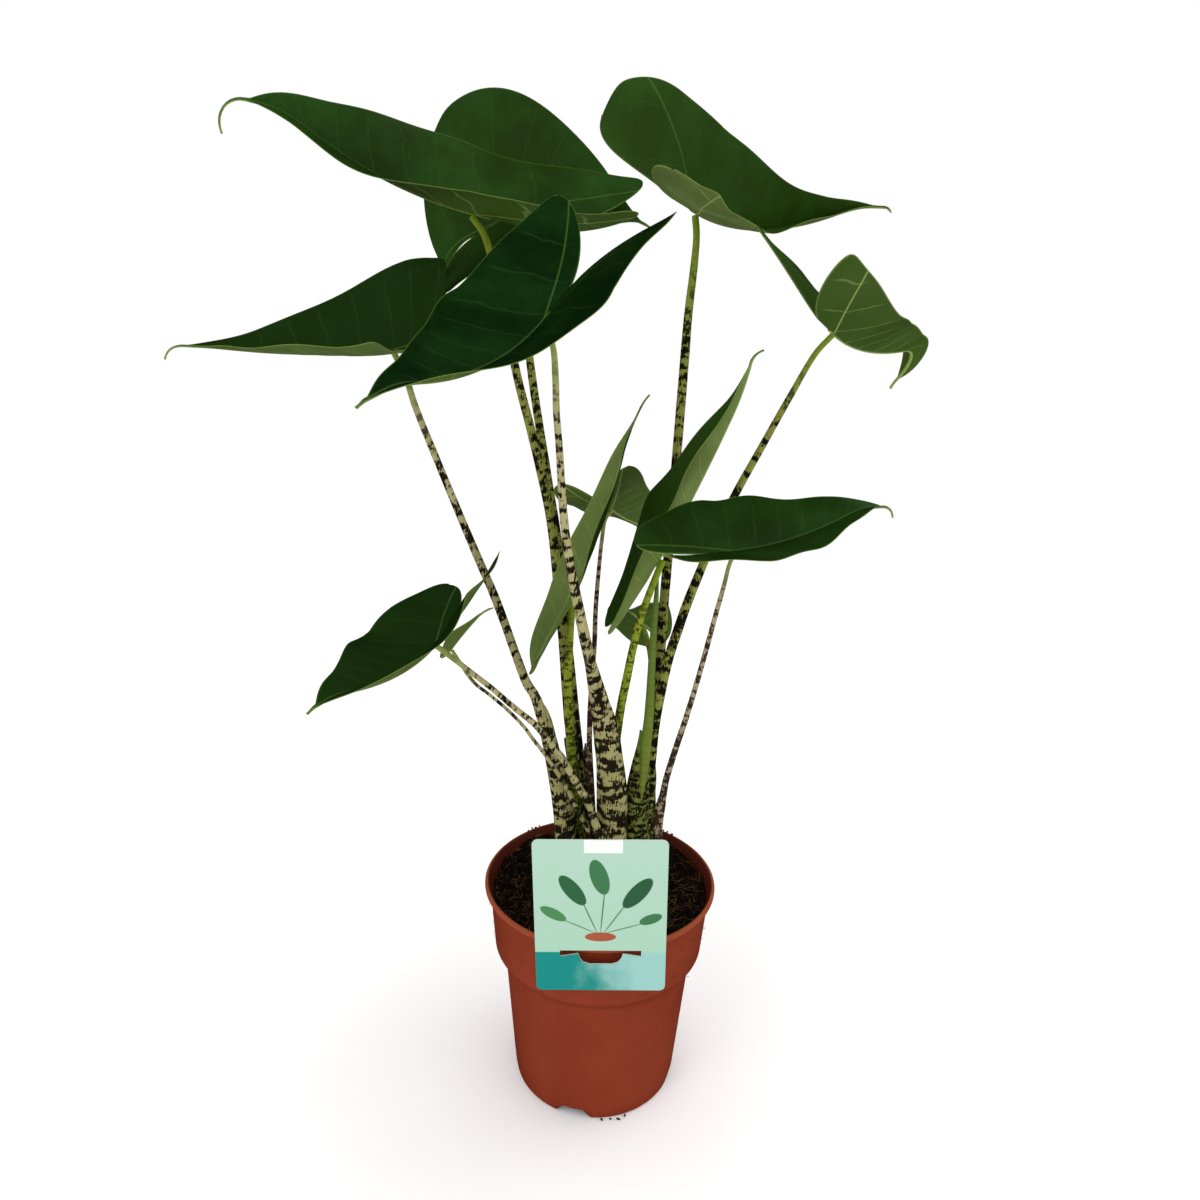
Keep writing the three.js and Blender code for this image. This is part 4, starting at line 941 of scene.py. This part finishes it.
def make_pot(material):
    inside = [POT_LIP, *((r - POT_WALL, z - 0.4) for r, z in POT_OUTSIDE[2:8][::-1]), *POT_FLOOR]
    profile = rounded([*POT_FOOT, *POT_OUTSIDE, *inside])
    pot = ringed("pot_body", [ring(r, z, POT_SIDES) for r, z in profile[1:-1]],
                 (profile[0][1], profile[-1][1]), material, 40)
    wedges = []
    for i in range(NOTCH_COUNT):
        points = [(x, y, z) for y in NOTCH_REACH for x, z in NOTCH]
        faces = [[0, 1, 2, 3], [7, 6, 5, 4], [0, 4, 5, 1], [1, 5, 6, 2], [2, 6, 7, 3], [3, 7, 4, 0]]
        wedge = mesh_object(f"wedge_{i}", points, faces, material)
        turn = NOTCH_TURN - 90 + 360 / NOTCH_COUNT * i
        wedge.data.transform(Matrix.Rotation(math.radians(turn), 4, "Z"))
        cut = pot.modifiers.new(f"cut_{i}", "BOOLEAN")
        cut.object = wedge
        cut.operation = "DIFFERENCE"
        wedges.append(wedge)
    pot = evaluated(pot, "nursery_pot")
    for wedge in wedges:
        bpy.data.objects.remove(wedge)
    x, y, z = points_of(pot).T
    high, wide = zip(*sorted((z, r) for r, z in POT_OUTSIDE))
    # How far inside the wall a point lies, kept for the painted shade inside the pot
    inward = np.interp(z, high, wide) - np.hypot(x, y)
    mark(pot, inward=np.clip(inward / POT_WALL, 0, 1))
    return pot


def soil_height(x, y):
    """Top of the soil: uneven, and heaped up against the wall, most of all at the back."""
    turn = np.arctan2(y, x)
    bank = 5.5 + 2.5 * np.sin(turn) + 1.2 * np.sin(3 * turn + 1)
    bank = bank * np.clip(np.hypot(x, y) / SOIL_RADIUS * 2.2 - 1.2, 0, 1) ** 1.6
    return SOIL_LEVEL + bank + 1.6 * (np.sin(0.11 * x + 0.6) * np.cos(0.13 * y - 0.4)
                                      + 0.5 * np.sin(0.31 * x - 0.24 * y))


def make_soil(material):
    """The bed of soil: its uneven top, and a plain side and underside inside the pot."""
    rings = []
    for radius in np.linspace(0, SOIL_RADIUS, SOIL_RINGS + 1)[1:]:
        x, y, _ = ring(radius, 0, SOIL_SIDES).T
        z = soil_height(x, y)
        # The wall leans outwards, and the soil follows it up
        widen = 1 + 0.0012 * np.clip(z - SOIL_LEVEL, 0, None)
        rings.append(np.stack([x * widen, y * widen, z], 1))
    rings += [ring(radius, height, SOIL_SIDES) for radius, height in SOIL_WALL]
    ends = (soil_height(0, 0), SOIL_WALL[-1][1])
    return ringed("soil_bed", rings, ends, material, 180, True)


def top_of_soil(tree):
    """One for what lies on top of the soil, and nothing for its side and underside."""
    high = add(tree, SPLIT, {0: add(tree, "GeometryNodeInputPosition")}, "Z")
    return add(tree, MATHS, (high, (SOIL_LEVEL - SOIL_EDGE) * MM), operation="GREATER_THAN")


def relief_tree():
    """Geometry nodes that roughen the top of the soil."""
    tree, given = new_tree("soil_relief", {"Relief": 0.007, "Lump Scale": 110.0})
    rough = add(tree, NOISE, {"Scale": given["Lump Scale"], "Detail": 4.0, "Roughness": 0.65})
    rough = add(tree, MATHS, (rough, 0.5), operation="SUBTRACT")
    lift = add(tree, TIMES, (rough, given["Relief"]))
    lift = add(tree, TIMES, (lift, top_of_soil(tree)))
    up = add(tree, JOIN, {"Z": lift})
    bed = add(tree, "GeometryNodeSetPosition", {"Geometry": given["Geometry"], "Offset": up})
    return close_tree(tree, bed, given["Matter"])


def strewn_tree():
    """Geometry nodes that strew turned copies of one small shape over the top of the soil."""
    tree, given = new_tree("strewn_over_soil", {
        "Density": 50000.0, "Size": 1.0, "Smallest": 0.4, "Lean": 3.1, "Sink": 0.0},
        {"Seed": 3}, "Shape")
    spots = add(tree, "GeometryNodeDistributePointsOnFaces", {
        "Mesh": given["Geometry"], "Selection": top_of_soil(tree), "Density": given["Density"],
        "Seed": given["Seed"]}, distribute_method="RANDOM")
    shape = add(tree, "GeometryNodeObjectInfo", {"Object": given["Shape"]}, "Geometry")
    lean = add(tree, "FunctionNodeRandomValue", {
        0: (-1, -1, -3.14), 1: (1, 1, 3.14), "Seed": given["Seed"]}, data_type="FLOAT_VECTOR")
    tip = add(tree, JOIN, (given["Lean"], given["Lean"], 1.0))
    lean = add(tree, VECTORS, (lean, tip), operation="MULTIPLY")
    grow = add(tree, "FunctionNodeRandomValue", {
        2: given["Smallest"], 3: 1.0, "Seed": given["Seed"]}, 1, data_type="FLOAT")
    grow = add(tree, TIMES, (grow, given["Size"]))
    down = add(tree, JOIN, {"Z": given["Sink"]})
    spots = add(tree, "GeometryNodeSetPosition", {"Geometry": spots, "Offset": down})
    placed = add(tree, "GeometryNodeInstanceOnPoints", {
        "Points": spots, "Instance": shape, "Rotation": lean, "Scale": grow})
    return close_tree(tree, placed, given["Matter"])


def crumb_shape():
    """One lumpy crumb, a millimetre or two across."""
    data = bmesh.new()
    bmesh.ops.create_icosphere(data, subdivisions=2, radius=1.6 * MM)
    for vertex in data.verts:
        x, y, z = vertex.co / MM
        swell = 1 + 0.22 * math.sin(2.3 * x + y) + 0.2 * math.sin(2.9 * y - 1.7 * z)
        vertex.co = vertex.co * swell
        vertex.co.z *= 0.75
    mesh = bpy.data.meshes.new("crumb_shape")
    data.to_mesh(mesh)
    data.free()
    return new_object("crumb_shape", mesh)


def tongue_outline(grow):
    right = [(x + grow, y + (grow if y > 0 else 0)) for x, y in TONGUE_HALF]
    return right + [(-x, y) for x, y in right[::-1]]


def card_outline():
    x, r = CARD_HALF, CARD_CORNER
    out = []
    for cx, cy, start in ((x - r, -CARD_BELOW + r, -90), (x - r, CARD_ABOVE - r, 0),
                          (-x + r, CARD_ABOVE - r, 90), (-x + r, -CARD_BELOW + r, 180)):
        for step in range(7):
            turn = math.radians(start + 15 * step)
            out.append((cx + r * math.cos(turn), cy + r * math.sin(turn)))
    return out


def flat_plate(name, outlines, thickness, material):
    """A flat plate in the XY plane with holes, as a filled and thickened outline."""
    data = bpy.data.curves.new(name, "CURVE")
    data.dimensions = "2D"
    data.fill_mode = "BOTH"
    data.extrude = thickness / 2 * MM
    for outline in outlines:
        spline = data.splines.new("POLY")
        spline.points.add(len(outline) - 1)
        spline.use_cyclic_u = True
        for point, (x, y) in zip(spline.points, outline):
            point.co = (x * MM, y * MM, 0, 1)
    data.materials.append(material)
    return evaluated(new_object(name + "_outline", data), name)


def make_card(material):
    """The card with its slot, and the tongue that lies back over the rim, as two pieces."""
    hinge = Matrix.Translation([c * MM for c in CARD_HINGE])
    turn = Matrix.Rotation(math.radians(-CARD_TURN), 4, "Y")
    slot = [(x, -y) for x, y in tongue_outline(SLOT_GAP)]
    card = flat_plate("card", [card_outline(), slot], CARD_THICK, material)
    tongue = flat_plate("card_tongue", [tongue_outline(0)], CARD_THICK, material)
    place = points_of(card)
    place[:, 2] = np.where(place[:, 2] > 0, -1.0, 1.0)
    mark(card, print=place)
    # The tongue has no print, like the card's back
    mark(tongue, print=np.full((len(tongue.data.vertices), 3), (0.0, 40.0, 1.0)))
    card.data.transform(hinge @ Matrix.Rotation(math.radians(CARD_TILT), 4, "X") @ turn
                        @ Matrix.Rotation(math.radians(90), 4, "X"))
    tongue.data.transform(hinge @ Matrix.Translation((0, CARD_THICK / 2 * MM, 0)) @ turn)
    return card, tongue


# Pieces

skin = leaf_skin()
for name, leaf in LEAVES.items():
    settle(blade("leaf_" + name, leaf, skin), "blade_" + name)

round_stem = stem_tree()
skins = {kind: stalk_skin(kind + "_petiole_skin", *values)
         for kind, values in STALK_SKINS.items()}
mottled = stalk_skin("mottled_sheath_skin", *MOTTLED_SHEATH)
for name in STALKS:
    places = stalk_places(name)
    skin = skins[SKIN_OF_STALK.get(name, "zebra")]
    settle(stem("petiole_" + name, places, round_stem, skin), "stalk_" + name)
    if name in SHEATHS:
        wing = wrap("sheath_" + name, places, *SHEATHS[name],
                    skin if name in PALE_WINGS else mottled)
        settle(wing, "stalk_" + name)
settle(stem("new_leaf", SPEAR, round_stem, rolled_skin()), "rolled_new_leaf")
sheath = stem("new_leaf_sheath", SHEATH, round_stem, mottled)
settle(sheath, "new_leaf_sheath")

settle(make_pot(pot_plastic()), "pot")
peat = soil_matter("peat", "#070403", "#1d120b")
bed = evaluated(with_tree(make_soil(peat), relief_tree(), {"Matter": peat}), "soil")
settle(bed, "potting_soil")
strewn = strewn_tree()
crumb = crumb_shape()
fibre = stem("fibre_shape", FIBRE, round_stem, peat, 4, 0.0)
crumbly = soil_matter("peat_crumbs", "#120805", "#38200f")
for name, values in (
        ("soil_crumbs", {"Density": 50000.0, "Size": 1.3, "Smallest": 0.3, "Shape": crumb,
                         "Seed": 3, "Matter": crumbly}),
        ("soil_fibres", {"Density": 30000.0, "Size": 1.4, "Smallest": 0.35, "Lean": 0.45, "Seed": 8,
                         "Shape": fibre, "Sink": 0.001,
                         "Matter": soil_matter("coir_fibre", "#4a3018", "#94774f")})):
    ground = new_object(name + "_bed", bed.data.copy())
    settle(evaluated(with_tree(ground, strewn, values), name), "potting_soil")
# Loose bits are flattened crumbs, each turned on its own and in one of three lengths
for i, (turn, out, high) in enumerate(LOOSE_BITS):
    bit = new_object(f"loose_bit_{i + 1}", crumb.data.copy())
    bit.data.materials.clear()
    bit.data.materials.append(crumbly)
    spot = Matrix.Translation((out * MM, 0, high * MM)) @ Matrix.Rotation(1.3 * i, 4, "Z")
    bit.data.transform(Matrix.Rotation(math.radians(turn), 4, "Z") @ spot
                       @ Matrix.Diagonal((0.45 + 0.3 * (i % 3), 0.4, 0.6, 1)))
    settle(bit, "potting_soil")
for shape in (crumb, fibre):
    bpy.data.objects.remove(shape)
for piece in make_card(card_print()):
    settle(piece, "plant_card")

# Stage

corners = [(x * FLOOR_HALF, y * FLOOR_HALF, 0) for x, y in ((-1, -1), (1, -1), (1, 1), (-1, 1))]
floor = mesh_object("floor", corners, [[0, 1, 2, 3]], floor_paint())
floor.visible_glossy = False

# White all round, but out of reflections, so that the leaves keep their depth of colour
world = bpy.data.worlds.new("soft_studio")
world.use_nodes = True
world.node_tree.nodes.clear()
bpy.context.scene.world = world
glow = add(world.node_tree, "ShaderNodeBackground", {"Color": (1, 1, 1, 1), "Strength": 1.0})
add(world.node_tree, "ShaderNodeOutputWorld", {"Surface": glow})
world.cycles_visibility.glossy = False
bpy.context.scene.view_settings.view_transform = "Standard"

# Only the top softbox shows as a sheen on the leaves
for name, (place, height, size, watts) in SOFTBOXES.items():
    data = bpy.data.lights.new(name, "AREA")
    data.shape = "DISK"
    data.size = size
    data.energy = watts
    light = new_object(name, data)
    light.visible_glossy = name == "top"
    aim = (Vector((0, 0, height)) - Vector(place)).to_track_quat("-Z", "Y")
    light.matrix_world = Matrix.Translation(place) @ aim.to_matrix().to_4x4()

# In front of the plant, a little below its top leaves, looking down at 15 degrees
data = bpy.data.cameras.new("camera")
data.sensor_width = CAMERA_SENSOR
data.lens = CAMERA_LENS
camera = new_object("camera", data)
camera.matrix_world = (Matrix.Translation(CAMERA_PLACE)
                       @ Matrix.Rotation(math.radians(90 - CAMERA_DOWN), 4, "X")
                       @ Matrix.Rotation(math.radians(CAMERA_ROLL), 4, "Z"))
bpy.context.scene.camera = camera
